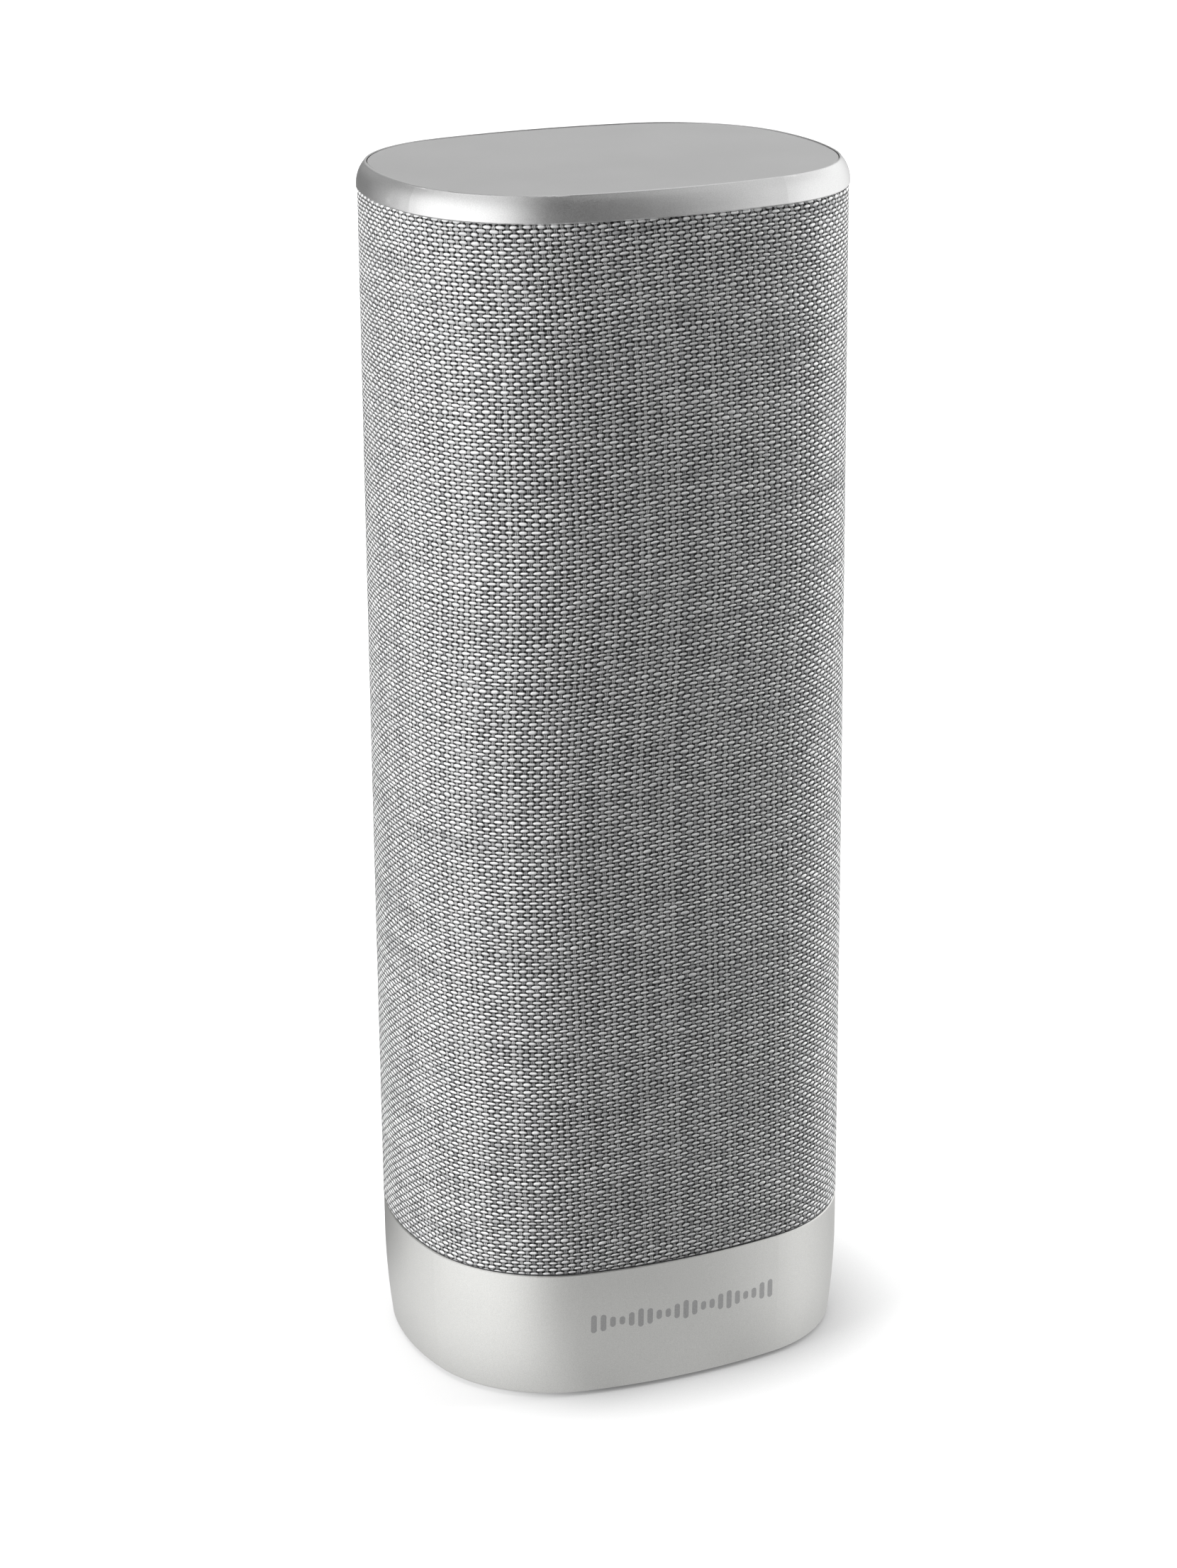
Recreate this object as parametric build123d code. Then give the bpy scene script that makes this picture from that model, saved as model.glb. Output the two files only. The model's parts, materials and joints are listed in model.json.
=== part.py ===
"""Tall cloth-covered tabletop loudspeaker with an aluminium base and top ring.

Millimetres, +Z up, the front faces -Y, and the origin is on the table under the middle of the body.
Every horizontal section is one oval of eight tangent arcs. "inset" is a distance inwards from that
oval, and because the arcs keep their centres, every inset outline is again eight tangent arcs.
"""

from build123d import *

import os
from math import atan2, cos, degrees, radians, sin, sqrt

# ---------------------------------------------------------------- driving dimensions

HALF_WIDTH = 47.6
HALF_DEPTH = 38.6
HEIGHT = 248.0
FRONT_RADIUS = 126.0
SIDE_RADIUS = 63.0
CORNER_RADIUS = 30.0

# Heights of the outside pieces.
FOOT_TOP = 1.8
BASE_BOTTOM = 0.8
BASE_TOP = 28.1
CLOTH_BOTTOM = 28.6
CLOTH_TOP = 242.8
PANEL_TOP = 247.85
PANEL_THICKNESS = 1.6

# Insets of the walls, from the outside in.
BASE_INSET = 0.3
CLOTH_INSET = 0.2
CLOTH_THICKNESS = 0.8
FRAME_INSET = CLOTH_INSET + CLOTH_THICKNESS
FRAME_THICKNESS = 1.8
BASE_INNER = 3.4
TRAY_INSET = 2.9
CABINET_INSET = 5.0
CABINET_WALL = 3.0
FIT = 0.1

# Base: a straight collar above a long inward curve, so that the foot of the wall tucks under.
TUCK_START = 22.0
TUCK_RADIUS = 160.0
BASE_EDGE_RADIUS = 0.7
BASE_PLATE_BOTTOM = 1.0
BASE_PLATE_TOP = 3.5
LEDGE_TOP = 5.3
LEDGE_INSET = 5.4

# Inner structure heights.
TRAY_TOP = 31.0
AMP_BOARD_Z = 36.0
CABINET_BOTTOM = 56.0
CABINET_TOP = 236.0
BOARD_THICKNESS = 1.6

# Front baffle and the two drivers, whose axes run along Y.
BAFFLE_FRONT = -21.5
BAFFLE_THICKNESS = 4.0
GASKET_THICKNESS = 0.5
CABINET_FRONT = BAFFLE_FRONT + BAFFLE_THICKNESS + GASKET_THICKNESS
WOOFER_Z = 108.0
TWEETER_Z = 184.0
WOOFER_HOLE_RADIUS = 31.0
WOOFER_SCREW_CIRCLE = 33.6
TWEETER_HOLE_RADIUS = 20.0
TWEETER_SCREW_CIRCLE = 23.4

# Rear connector panel, in a window of the base.
WINDOW_HALF_WIDTH = 22.0
WINDOW_BOTTOM = 6.5
WINDOW_TOP = 24.5
IO_Z = 15.5
IO_FACE_INSET = 1.0
IO_BACK_INSET = 5.2
INLET_X = -8.5
BUTTON_X = 10.5
LENS_X = 17.5
BUTTON_RADIUS = 3.4
BUTTON_HOLE_RADIUS = 3.6
BUTTON_TRAVEL = 0.6
BUTTON_FLANGE_Y = 31.6
LENS_RADIUS = 1.0
IO_BOARD_Y = 24.0

# Power inlet: a two-pin figure-eight socket.
SOCKET_HALF_WIDTH = 6.6
SOCKET_RADIUS = 3.8
SOCKET_DEPTH = 12.5
PIN_SPACING = 8.6
PIN_RADIUS = 1.18
INLET_FACE_Y = 36.9
INLET_BODY_Y = (19.5, 31.8)

# Stand thread: 1/4-20 insert in the middle of the base plate.
INSERT_RADIUS = 5.0
THREAD_RADIUS = 2.55
THREAD_DEPTH = 8.0
INSERT_LENGTH = 9.0

# Fasteners.
BASE_SCREW_SPOTS = [(x, y) for x in (-28.0, 28.0) for y in (-17.0, 17.0)]
PSU_POST_SPOTS = [(x, y) for x in (-19.0, 19.0) for y in (-23.5, 9.5)]
AMP_POST_SPOTS = [(x, y) for x in (-29.0, 29.0) for y in (-19.0, 19.0)]
CABINET_POST_SPOTS = [(-37.5, -6.0), (37.5, -6.0), (-37.5, 9.0), (37.5, 9.0), (0.0, 27.5)]

# ---------------------------------------------------------------- the oval section


def corner_centre():
    """Centre of the corner arc in the +X +Y quarter, tangent inside the front and side arcs."""
    front = Vector(0, HALF_DEPTH - FRONT_RADIUS)
    side = Vector(HALF_WIDTH - SIDE_RADIUS, 0)
    from_front = FRONT_RADIUS - CORNER_RADIUS
    from_side = SIDE_RADIUS - CORNER_RADIUS
    between = side - front
    distance = between.length
    along = (from_front**2 - from_side**2 + distance**2) / (2 * distance)
    off = sqrt(from_front**2 - along**2)
    unit = between.normalized()
    normal = Vector(-unit.Y, unit.X)
    options = [front + unit * along + normal * off, front + unit * along - normal * off]
    return max(options, key=lambda point: point.X + point.Y)


CORNER = corner_centre()
FRONT_HALF_ANGLE = degrees(atan2(CORNER.X, CORNER.Y - (HALF_DEPTH - FRONT_RADIUS)))
SIDE_HALF_ANGLE = degrees(atan2(CORNER.Y, CORNER.X - (HALF_WIDTH - SIDE_RADIUS)))
CORNER_ANGLE = 90 - FRONT_HALF_ANGLE - SIDE_HALF_ANGLE


def section_arcs():
    """(centre, radius, start angle, turn) of the eight arcs, counter-clockwise from the right side."""
    side_shift = HALF_WIDTH - SIDE_RADIUS
    front_shift = HALF_DEPTH - FRONT_RADIUS
    flats = [
        (Vector(side_shift, 0), SIDE_RADIUS, SIDE_HALF_ANGLE),
        (Vector(0, front_shift), FRONT_RADIUS, FRONT_HALF_ANGLE),
        (Vector(-side_shift, 0), SIDE_RADIUS, SIDE_HALF_ANGLE),
        (Vector(0, -front_shift), FRONT_RADIUS, FRONT_HALF_ANGLE),
    ]
    corner_signs = [(1, 1), (-1, 1), (-1, -1), (1, -1)]
    arcs = []
    for quarter, (centre, radius, half_angle) in enumerate(flats):
        facing = 90.0 * quarter
        arcs.append((centre, radius, facing - half_angle, 2 * half_angle))
        sign_x, sign_y = corner_signs[quarter]
        middle = Vector(sign_x * CORNER.X, sign_y * CORNER.Y)
        arcs.append((middle, CORNER_RADIUS, facing + half_angle, CORNER_ANGLE))
    return arcs


def outline(inset, z=0.0):
    """The section, moved inwards by inset, as a face at height z."""
    edges = [
        CenterArc((centre.X, centre.Y, z), radius - inset, start, turn)
        for centre, radius, start, turn in section_arcs()
    ]
    return make_face(edges)


def prism(inset, bottom, top):
    """A solid with the inset section between two heights."""
    return extrude(outline(inset, bottom), top - bottom, dir=(0, 0, 1))


def tube(outer_inset, inner_inset, bottom, top):
    """A closed wall between two insets."""
    return prism(outer_inset, bottom, top) - prism(inner_inset, bottom, top)


def band(profile):
    """Carries a profile drawn in (inset, height) once round the section."""
    pieces = []
    for centre, radius, start, turn in section_arcs():
        outwards = Vector(cos(radians(start)), sin(radians(start)))
        plane = Plane(
            origin=centre + outwards * radius,
            x_dir=outwards * -1,
            z_dir=(outwards * -1).cross(Vector(0, 0, 1)),
        )
        axis = Axis((centre.X, centre.Y, 0), (0, 0, 1))
        pieces.append(revolve(plane * profile, axis, turn))
    return pieces[0].fuse(*pieces[1:])


def front_y(inset, x):
    """Distance from the middle plane to the inset front or back arc at x."""
    return sqrt((FRONT_RADIUS - inset) ** 2 - x**2) - (FRONT_RADIUS - HALF_DEPTH)


# ---------------------------------------------------------------- small helpers


def block(x_range, y_range, z_range):
    """An axis-aligned box between three pairs of limits."""
    size = [high - low for low, high in (x_range, y_range, z_range)]
    corner = [low for low, _ in (x_range, y_range, z_range)]
    return Pos(*corner) * Box(*size, align=(Align.MIN, Align.MIN, Align.MIN))


def post(radius, bottom, top, x=0.0, y=0.0):
    """An upright round bar."""
    return Pos(x, y, bottom) * Cylinder(radius, top - bottom, align=(Align.CENTER, Align.CENTER, Align.MIN))


def turned(points, x=0.0, z=0.0):
    """Revolves a closed (radius, y) polygon about a line along Y through (x, z)."""
    return Pos(x, 0, z) * revolve(make_face(Polyline(*points, close=True)), Axis.Y, 360)


def bar(radius, start, end, x=0.0, z=0.0):
    """A round bar along Y."""
    return turned([(0, start), (radius, start), (radius, end), (0, end)], x, z)


def washer(outer, inner, start, end, x=0.0, z=0.0):
    """A flat ring round a line along Y."""
    return turned([(inner, start), (outer, start), (outer, end), (inner, end)], x, z)


def stadium(half_width, radius, start, end, x, z):
    """A round-ended slot shape, long along X, between two y values."""
    ends = [bar(radius, start, end, x + side * (half_width - radius), z) for side in (-1, 1)]
    reach = half_width - radius
    return ends[0] + ends[1] + block((x - reach, x + reach), (start, end), (z - radius, z + radius))


def dome(rim, height, wall, seat, x, z):
    """A spherical cap of even wall that bulges towards -Y, with its rim's front edge at y = seat."""
    radius = (rim**2 + height**2) / (2 * height)
    middle = seat - height + radius
    half_angle = degrees(atan2(rim, middle - seat))
    outer = CenterArc((0, middle), radius, -90, half_angle)
    inner = CenterArc((0, middle), radius - wall, -90, half_angle)
    face = make_face([outer, Line(outer @ 1, inner @ 1), inner, Line(inner @ 0, outer @ 0)])
    return Pos(x, 0, z) * revolve(face, Axis.Y, 360)


def ring_spots(radius, count, first, z):
    """(x, z) points evenly spaced round a driver's axis."""
    angles = [radians(first + 360.0 * i / count) for i in range(count)]
    return [(radius * cos(a), z + radius * sin(a)) for a in angles]


def joined(shapes):
    """Several touching shapes as one."""
    return shapes[0].fuse(*shapes[1:])


def apart(shapes):
    """Several separate solids kept in one node."""
    return Compound(children=[solid for shape in shapes for solid in shape.solids()])


def wire_tube(points, radius, bends):
    """A lead along straight runs joined by tangent arcs."""
    path = FilletPolyline(*points, radius=bends)
    return sweep(Plane(origin=path @ 0, z_dir=path % 0) * Circle(radius), path)


# ---------------------------------------------------------------- base

MARK_BARS = 21
MARK_PITCH = 2.0
MARK_BAR_WIDTH = 1.2
MARK_Z = 16.6
MARK_TALLEST = 4.2
MARK_SHORTEST = 1.8
MARK_DEPTH = 0.25


def base_profile(outer_shift=0.0):
    """Wall of the base: straight collar, long tuck, small rolled edge at the foot."""
    drop = TUCK_START - BASE_BOTTOM
    tuck = TUCK_RADIUS - sqrt(TUCK_RADIUS**2 - drop**2)
    half_tuck = TUCK_RADIUS - sqrt(TUCK_RADIUS**2 - (drop / 2) ** 2)
    outer = BASE_INSET + outer_shift
    collar = Line((outer, BASE_TOP), (outer, TUCK_START))
    middle = (outer + half_tuck, TUCK_START - drop / 2)
    curve = ThreePointArc((outer, TUCK_START), middle, (outer + tuck, BASE_BOTTOM))
    rest = Polyline(curve @ 1, (BASE_INNER, BASE_BOTTOM), (BASE_INNER, BASE_TOP), collar @ 0)
    return make_face([collar, curve, *rest.edges()])


def rounded_base_profile():
    """The same wall with its lower outside edge and its upper outside edge broken."""
    face = base_profile()
    foot = face.vertices().group_by(Axis.Y)[0].sort_by(Axis.X)[0]
    face = fillet(foot, BASE_EDGE_RADIUS)
    shoulder = face.vertices().group_by(Axis.Y)[-1].sort_by(Axis.X)[0]
    return chamfer(shoulder, 0.2)


def mark_bars():
    """Upright bars of a plain sound-level pattern, as cutters through the front wall."""
    bars = []
    for i in range(MARK_BARS):
        offset = i - (MARK_BARS - 1) / 2
        swell = 0.5 + 0.5 * cos(1.3 * offset)
        height = MARK_SHORTEST + (MARK_TALLEST - MARK_SHORTEST) * swell
        shape = SlotOverall(height, MARK_BAR_WIDTH, rotation=90)
        plane = Plane(origin=(offset * MARK_PITCH, -HALF_DEPTH - 1, MARK_Z), z_dir=(0, 1, 0), x_dir=(1, 0, 0))
        bars.append(extrude(plane * shape, 6.0))
    return bars


def front_mark():
    """Thin inlays of the sound-level pattern, flush with the front of the base."""
    skin = band(base_profile()) - band(base_profile(outer_shift=MARK_DEPTH))
    return apart([skin & cutter for cutter in mark_bars()])


def rear_window(grow=0.0):
    """The opening for the connector panel, through the back of the base."""
    half = WINDOW_HALF_WIDTH + grow
    low, high = WINDOW_BOTTOM - grow, WINDOW_TOP + grow
    hole = block((-half, half), (20.0, HALF_DEPTH + 2), (low, high))
    return fillet(hole.edges().filter_by(Axis.Y), 3.0 + grow)


def base_shell(mark):
    """Aluminium wall of the base: rear window, pockets for the mark and a ledge above the bottom plate."""
    shell = band(rounded_base_profile()) + tube(BASE_INNER, LEDGE_INSET, BASE_PLATE_TOP, LEDGE_TOP)
    shell -= rear_window()
    return shell - mark


def base_plate():
    """Bottom plate: foot groove, screw pockets, stand-insert boss and supply-board posts."""
    plate = prism(BASE_INNER + FIT, BASE_PLATE_BOTTOM, BASE_PLATE_TOP)
    plate += post(8.0, BASE_PLATE_TOP, BASE_PLATE_BOTTOM + INSERT_LENGTH)
    for x, y in PSU_POST_SPOTS:
        plate += post(2.6, BASE_PLATE_TOP, 10.6, x, y)
    plate -= tube(5.2, 11.0, BASE_PLATE_BOTTOM, FOOT_TOP)
    plate -= post(INSERT_RADIUS, BASE_PLATE_BOTTOM, BASE_PLATE_BOTTOM + INSERT_LENGTH)
    for x, y in BASE_SCREW_SPOTS:
        plate -= post(3.0, BASE_PLATE_BOTTOM, 2.6, x, y)
        plate -= post(1.7, 2.6, BASE_PLATE_TOP, x, y)
    return plate


def foot_ring():
    """Rubber ring that the speaker stands on."""
    ring = tube(5.2, 11.0, 0.0, FOOT_TOP)
    lower = ring.edges().filter_by(GeomType.CIRCLE).group_by(Axis.Z)[0]
    return chamfer(lower, 0.3)


def stand_insert():
    """Brass insert with the blind stand thread, shown as its minor bore."""
    top = BASE_PLATE_BOTTOM + INSERT_LENGTH
    insert = post(INSERT_RADIUS, BASE_PLATE_BOTTOM, top)
    return insert - post(THREAD_RADIUS, BASE_PLATE_BOTTOM, BASE_PLATE_BOTTOM + THREAD_DEPTH)


def base_screws():
    """Four screws that hold the base plate to the tray's bosses."""
    screws = []
    for x, y in BASE_SCREW_SPOTS:
        head = post(2.7, 1.3, 2.6, x, y) - post(1.2, 1.3, 2.1, x, y)
        screws.append(head + post(1.4, 2.6, 12.0, x, y))
    return apart(screws)


def shadow_gasket():
    """Thin dark seal between the base and the cloth."""
    return tube(0.6, TRAY_INSET + 0.5, BASE_TOP, CLOTH_BOTTOM)


# ---------------------------------------------------------------- rear connector panel


def panel_slab(face_inset, back_inset, half_width, low, high):
    """A piece of wall that follows the back of the section between two insets."""
    wall = tube(face_inset, back_inset, low, high)
    return wall & block((-half_width, half_width), (10.0, HALF_DEPTH + 2), (low, high))


def io_panel():
    """Connector panel: a plug that fills the window, a flange behind it, and board posts."""
    plug = panel_slab(IO_FACE_INSET, IO_BACK_INSET, WINDOW_HALF_WIDTH - FIT, WINDOW_BOTTOM, WINDOW_TOP)
    plug &= rear_window(-FIT)
    flange = panel_slab(BASE_INNER + FIT, IO_BACK_INSET, WINDOW_HALF_WIDTH + 2.5, LEDGE_TOP, 25.3)
    panel = plug + flange
    panel += washer(5.2, BUTTON_HOLE_RADIUS, BUTTON_FLANGE_Y + 0.05, 33.6, BUTTON_X, IO_Z)
    for x, z in io_post_spots():
        panel += bar(1.7, IO_BOARD_Y + BOARD_THICKNESS, 34.0, x, z)
    panel -= stadium(SOCKET_HALF_WIDTH + 1.2, SOCKET_RADIUS + 1.2, 20.0, HALF_DEPTH + 2, INLET_X, IO_Z)
    panel -= bar(BUTTON_HOLE_RADIUS, 20.0, HALF_DEPTH + 2, BUTTON_X, IO_Z)
    panel -= bar(LENS_RADIUS, 20.0, HALF_DEPTH + 2, LENS_X, IO_Z)
    return panel


def io_post_spots():
    """(x, z) of the two posts that carry the button board."""
    return [(6.3, 9.0), (19.2, 21.6)]


def power_inlet():
    """Two-pin inlet: a block behind the panel with a nose through it and a deep socket."""
    inside, front = INLET_BODY_Y
    body = block((INLET_X - 9.6, INLET_X + 9.6), (inside, front), (IO_Z - 6.0, IO_Z + 6.0))
    nose = stadium(SOCKET_HALF_WIDTH + 1.2, SOCKET_RADIUS + 1.2, front, INLET_FACE_Y, INLET_X, IO_Z)
    socket_end = INLET_FACE_Y - SOCKET_DEPTH
    socket = stadium(SOCKET_HALF_WIDTH, SOCKET_RADIUS, socket_end, INLET_FACE_Y + 1, INLET_X, IO_Z)
    inlet = body + nose - socket
    for x in pin_places():
        inlet -= bar(PIN_RADIUS, inside - 1, socket_end + 1, x, IO_Z)
    return inlet


def pin_places():
    """x of the two inlet pins."""
    return [INLET_X - PIN_SPACING / 2, INLET_X + PIN_SPACING / 2]


def inlet_pins():
    """Nickel pins, through the back of the socket to solder tails."""
    return apart([bar(PIN_RADIUS, INLET_BODY_Y[0] - 3.0, INLET_FACE_Y - 2.5, x, IO_Z) for x in pin_places()])


def pair_button():
    """Round push button with a retaining flange behind the panel."""
    face = front_y(IO_FACE_INSET, BUTTON_X) + 0.4
    cap = bar(BUTTON_RADIUS, BUTTON_FLANGE_Y, face, BUTTON_X, IO_Z)
    cap = chamfer(cap.edges().group_by(Axis.Y)[-1], 0.3)
    return cap + bar(4.4, BUTTON_FLANGE_Y - 0.9, BUTTON_FLANGE_Y, BUTTON_X, IO_Z)


def pair_switch():
    """Tact switch whose plunger stops just short of the pressed button."""
    back = IO_BOARD_Y + BOARD_THICKNESS
    half = 3.0
    case = block((BUTTON_X - half, BUTTON_X + half), (back, back + 3.4), (IO_Z - half, IO_Z + half))
    plunger_end = BUTTON_FLANGE_Y - 0.9 - BUTTON_TRAVEL - 0.1
    return case + bar(1.7, back + 3.4, plunger_end, BUTTON_X, IO_Z)


def status_lens():
    """Light pipe from the indicator to the panel's face."""
    pipe = bar(LENS_RADIUS, 27.2, front_y(IO_FACE_INSET, LENS_X) - 0.1, LENS_X, IO_Z)
    return pipe + bar(1.8, 27.2, 29.0, LENS_X, IO_Z)


def status_led():
    """Surface-mounted indicator under the light pipe."""
    back = IO_BOARD_Y + BOARD_THICKNESS
    return block((LENS_X - 1.0, LENS_X + 1.0), (back, back + 0.9), (IO_Z - 0.6, IO_Z + 0.6))


def io_board():
    """Small upright board for the button and indicator."""
    board = block((4.6, 21.4), (IO_BOARD_Y, IO_BOARD_Y + BOARD_THICKNESS), (7.2, 23.6))
    return fillet(board.edges().filter_by(Axis.Y), 1.0)


# ---------------------------------------------------------------- supply electronics in the base

SUPPLY_BOARD_Z = 10.6
SUPPLY_TOP = SUPPLY_BOARD_Z + BOARD_THICKNESS


def supply_board():
    """Mains supply board, screwed to the base plate's posts."""
    board = block((-22.5, 22.5), (-27.0, 13.0), (SUPPLY_BOARD_Z, SUPPLY_TOP))
    board = fillet(board.edges().filter_by(Axis.Z), 1.5)
    for x, y in PSU_POST_SPOTS:
        board -= post(1.3, SUPPLY_BOARD_Z, SUPPLY_TOP, x, y)
    return board


def supply_transformer():
    """Ferrite transformer: a core of two plates and legs round a taped winding."""
    left, right, front, back = -17.0, 1.0, -20.0, -4.0
    core_low, core_high = SUPPLY_TOP + 1.2, SUPPLY_TOP + 12.2
    core = block((left, right), (front + 3, back - 3), (core_low, core_high))
    core -= block((left + 3, right - 3), (front, back), (core_low + 2.4, core_high - 2.4))
    winding = block((left + 3, right - 3), (front, back), (core_low + 2.4, core_high - 2.4))
    winding = fillet(winding.edges().filter_by(Axis.Z), 2.0)
    pins = [post(0.4, SUPPLY_TOP, core_low, x, -12.0) for x in (left + 2, left + 9, right - 2)]
    return joined([core, winding, *pins])


def supply_capacitors():
    """One tall reservoir can and two smaller ones."""
    cans = [(10.5, -19.0, 5.0, 12.6), (10.5, -8.0, 4.0, 10.0), (18.0, -13.5, 2.5, 8.0)]
    return apart([fillet(can_body(*can).edges().group_by(Axis.Z)[-1], 0.6) for can in cans])


def can_body(x, y, radius, height):
    """An upright can that stands on the supply board."""
    return post(radius, SUPPLY_TOP, SUPPLY_TOP + height, x, y)


def supply_screws():
    """Screws that hold the supply board down."""
    return apart([post(2.4, SUPPLY_TOP, SUPPLY_TOP + 1.5, x, y) + post(1.25, SUPPLY_BOARD_Z, SUPPLY_TOP, x, y)
                  for x, y in PSU_POST_SPOTS])


# ---------------------------------------------------------------- tray, amplifier and radio


def tray():
    """Plastic floor between base and cabinet, with screw bosses below and board posts above."""
    floor = prism(TRAY_INSET, CLOTH_BOTTOM, TRAY_TOP)
    floor += tube(BASE_INNER + FIT, BASE_INNER + 2.2, 25.6, CLOTH_BOTTOM)
    floor -= block((-11.0, -5.0), (24.0, 30.0), (CLOTH_BOTTOM, TRAY_TOP))
    for x, y in BASE_SCREW_SPOTS:
        floor += post(3.6, BASE_PLATE_TOP, CLOTH_BOTTOM, x, y)
        floor -= post(1.4, BASE_PLATE_TOP, 12.0, x, y)
    for x, y in AMP_POST_SPOTS:
        floor += post(2.6, TRAY_TOP, AMP_BOARD_Z, x, y)
        floor -= post(1.25, AMP_BOARD_Z - 4.0, AMP_BOARD_Z, x, y)
    for x, y in CABINET_POST_SPOTS:
        floor += post(3.0, TRAY_TOP, CABINET_BOTTOM, x, y)
    return floor


AMP_TOP = AMP_BOARD_Z + BOARD_THICKNESS


def amp_board():
    """Amplifier and signal board."""
    board = block((-33.0, 33.0), (-23.0, 23.0), (AMP_BOARD_Z, AMP_TOP))
    board = fillet(board.edges().filter_by(Axis.Z), 2.0)
    for x, y in AMP_POST_SPOTS:
        board -= post(1.4, AMP_BOARD_Z, AMP_TOP, x, y)
    return board


def amp_screws():
    """Screws that hold the amplifier board to the tray."""
    return apart([post(2.4, AMP_TOP, AMP_TOP + 1.5, x, y) + post(1.25, AMP_BOARD_Z - 4.0, AMP_TOP, x, y)
                  for x, y in AMP_POST_SPOTS])


def heat_sink():
    """Finned aluminium block over the amplifier chip."""
    left, right, front, back = -20.0, 12.0, -12.0, 12.0
    sink = block((left, right), (front, back), (AMP_TOP + 1.2, AMP_TOP + 13.0))
    fins = 7
    pitch = (back - front) / fins
    for i in range(fins - 1):
        middle = front + pitch * (i + 1)
        sink -= block((left, right), (middle - 0.9, middle + 0.9), (AMP_TOP + 4.0, AMP_TOP + 13.0))
    return sink


def amp_chip():
    """Amplifier chip under the heat sink."""
    return block((-9.0, 1.0), (-5.0, 5.0), (AMP_TOP, AMP_TOP + 1.2))


def radio_module():
    """Shielded wireless module."""
    board = block((16.0, 31.0), (-14.0, 6.0), (AMP_TOP, AMP_TOP + 0.8))
    can = block((17.0, 30.0), (-13.0, 0.0), (AMP_TOP + 0.8, AMP_TOP + 3.0))
    return board + fillet(can.edges().filter_by(Axis.Z), 0.8)


def speaker_sockets():
    """Two lead connectors at the back of the amplifier board."""
    return apart([block((x - 3.5, x + 3.5), (15.0, 20.0), (AMP_TOP, AMP_TOP + 6.0)) for x in (-16.0, 6.0)])


# ---------------------------------------------------------------- cabinet


LUG_RADIUS = 3.2
LUG_REACH = 8.0
LUG_BACK = -5.0


def half_prism(inset, bottom, top, front, back):
    """The inset section between two heights, kept only from y = front to y = back."""
    return prism(inset, bottom, top) & block((-60, 60), (front, back), (bottom, top))


def cabinet_shell():
    """Closed back of the acoustic cabinet, open at the front, with a lead hole and screw lugs."""
    wall = CABINET_WALL
    depth = (CABINET_FRONT, HALF_DEPTH)
    shell = half_prism(CABINET_INSET, CABINET_BOTTOM, CABINET_TOP, *depth)
    shell -= half_prism(CABINET_INSET + wall, CABINET_BOTTOM + wall, CABINET_TOP - wall, *depth)
    for x, z in baffle_screw_spots():
        outwards = x / abs(x)
        reach = sorted((x, x + outwards * LUG_REACH))
        lug = block(reach, (CABINET_FRONT, LUG_BACK), (z - LUG_RADIUS, z + LUG_RADIUS))
        shell += bar(LUG_RADIUS, CABINET_FRONT, LUG_BACK, x, z)
        shell += lug & prism(CABINET_INSET, z - 4, z + 4)
        shell -= bar(1.15, CABINET_FRONT, -8.0, x, z)
    for x, y in carrier_screw_spots():
        shell -= post(1.25, CARRIER_SCREW_TIP, CABINET_TOP, x, y)
    return shell - post(3.0, CABINET_BOTTOM, CABINET_BOTTOM + wall, 6.0, 12.0)


def baffle_screw_spots():
    """(x, z) of the screws that hold the baffle to the cabinet."""
    return [(side * 32.5, z) for side in (-1, 1) for z in (63.0, 147.5, 229.0)]


def front_baffle():
    """Flat front of the cabinet, with the two driver holes."""
    back = BAFFLE_FRONT + BAFFLE_THICKNESS
    baffle = half_prism(CABINET_INSET, CABINET_BOTTOM, CABINET_TOP, BAFFLE_FRONT, back)
    baffle -= bar(WOOFER_HOLE_RADIUS, BAFFLE_FRONT, back, 0, WOOFER_Z)
    baffle -= bar(TWEETER_HOLE_RADIUS, BAFFLE_FRONT, back, 0, TWEETER_Z)
    for x, z in baffle_screw_spots():
        baffle -= bar(1.5, BAFFLE_FRONT, back, x, z)
    for x, z in woofer_screw_spots() + tweeter_screw_spots():
        baffle -= bar(1.1, BAFFLE_FRONT, back, x, z)
    return baffle


def cabinet_gasket():
    """Foam seal between baffle and cabinet, which follows the cabinet's rim."""
    start = BAFFLE_FRONT + BAFFLE_THICKNESS
    wall = CABINET_WALL
    ring = half_prism(CABINET_INSET, CABINET_BOTTOM, CABINET_TOP, start, CABINET_FRONT)
    hole = half_prism(CABINET_INSET + wall, CABINET_BOTTOM + wall, CABINET_TOP - wall, start, CABINET_FRONT)
    ring -= hole
    for x, z in baffle_screw_spots():
        ring -= bar(1.5, start, CABINET_FRONT, x, z)
    return ring


def baffle_screws():
    """Six screws through the baffle's edge."""
    return apart([screw_y(x, z, BAFFLE_FRONT, -8.0, 2.6, 1.15) for x, z in baffle_screw_spots()])


def screw_y(x, z, seat, tip, head_radius, shank_radius):
    """A pan-head cross-recess screw that enters along +Y."""
    head = bar(head_radius, seat - 1.6, seat, x, z)
    head = fillet(head.edges().group_by(Axis.Y)[0], 0.6)
    reach = head_radius * 0.6
    head -= block((x - reach, x + reach), (seat - 1.6, seat - 0.8), (z - 0.35, z + 0.35))
    head -= block((x - 0.35, x + 0.35), (seat - 1.6, seat - 0.8), (z - reach, z + reach))
    return head + bar(shank_radius, seat, tip, x, z)


def cabinet_wadding():
    """Pad of damping felt against the back of the cabinet."""
    pad = half_prism(CABINET_INSET + CABINET_WALL + 0.5, 62.0, 230.0, 18.0, HALF_DEPTH)
    return pad - block((-60, 60), (18.0, 24.0), (62.0, 78.0))


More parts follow.
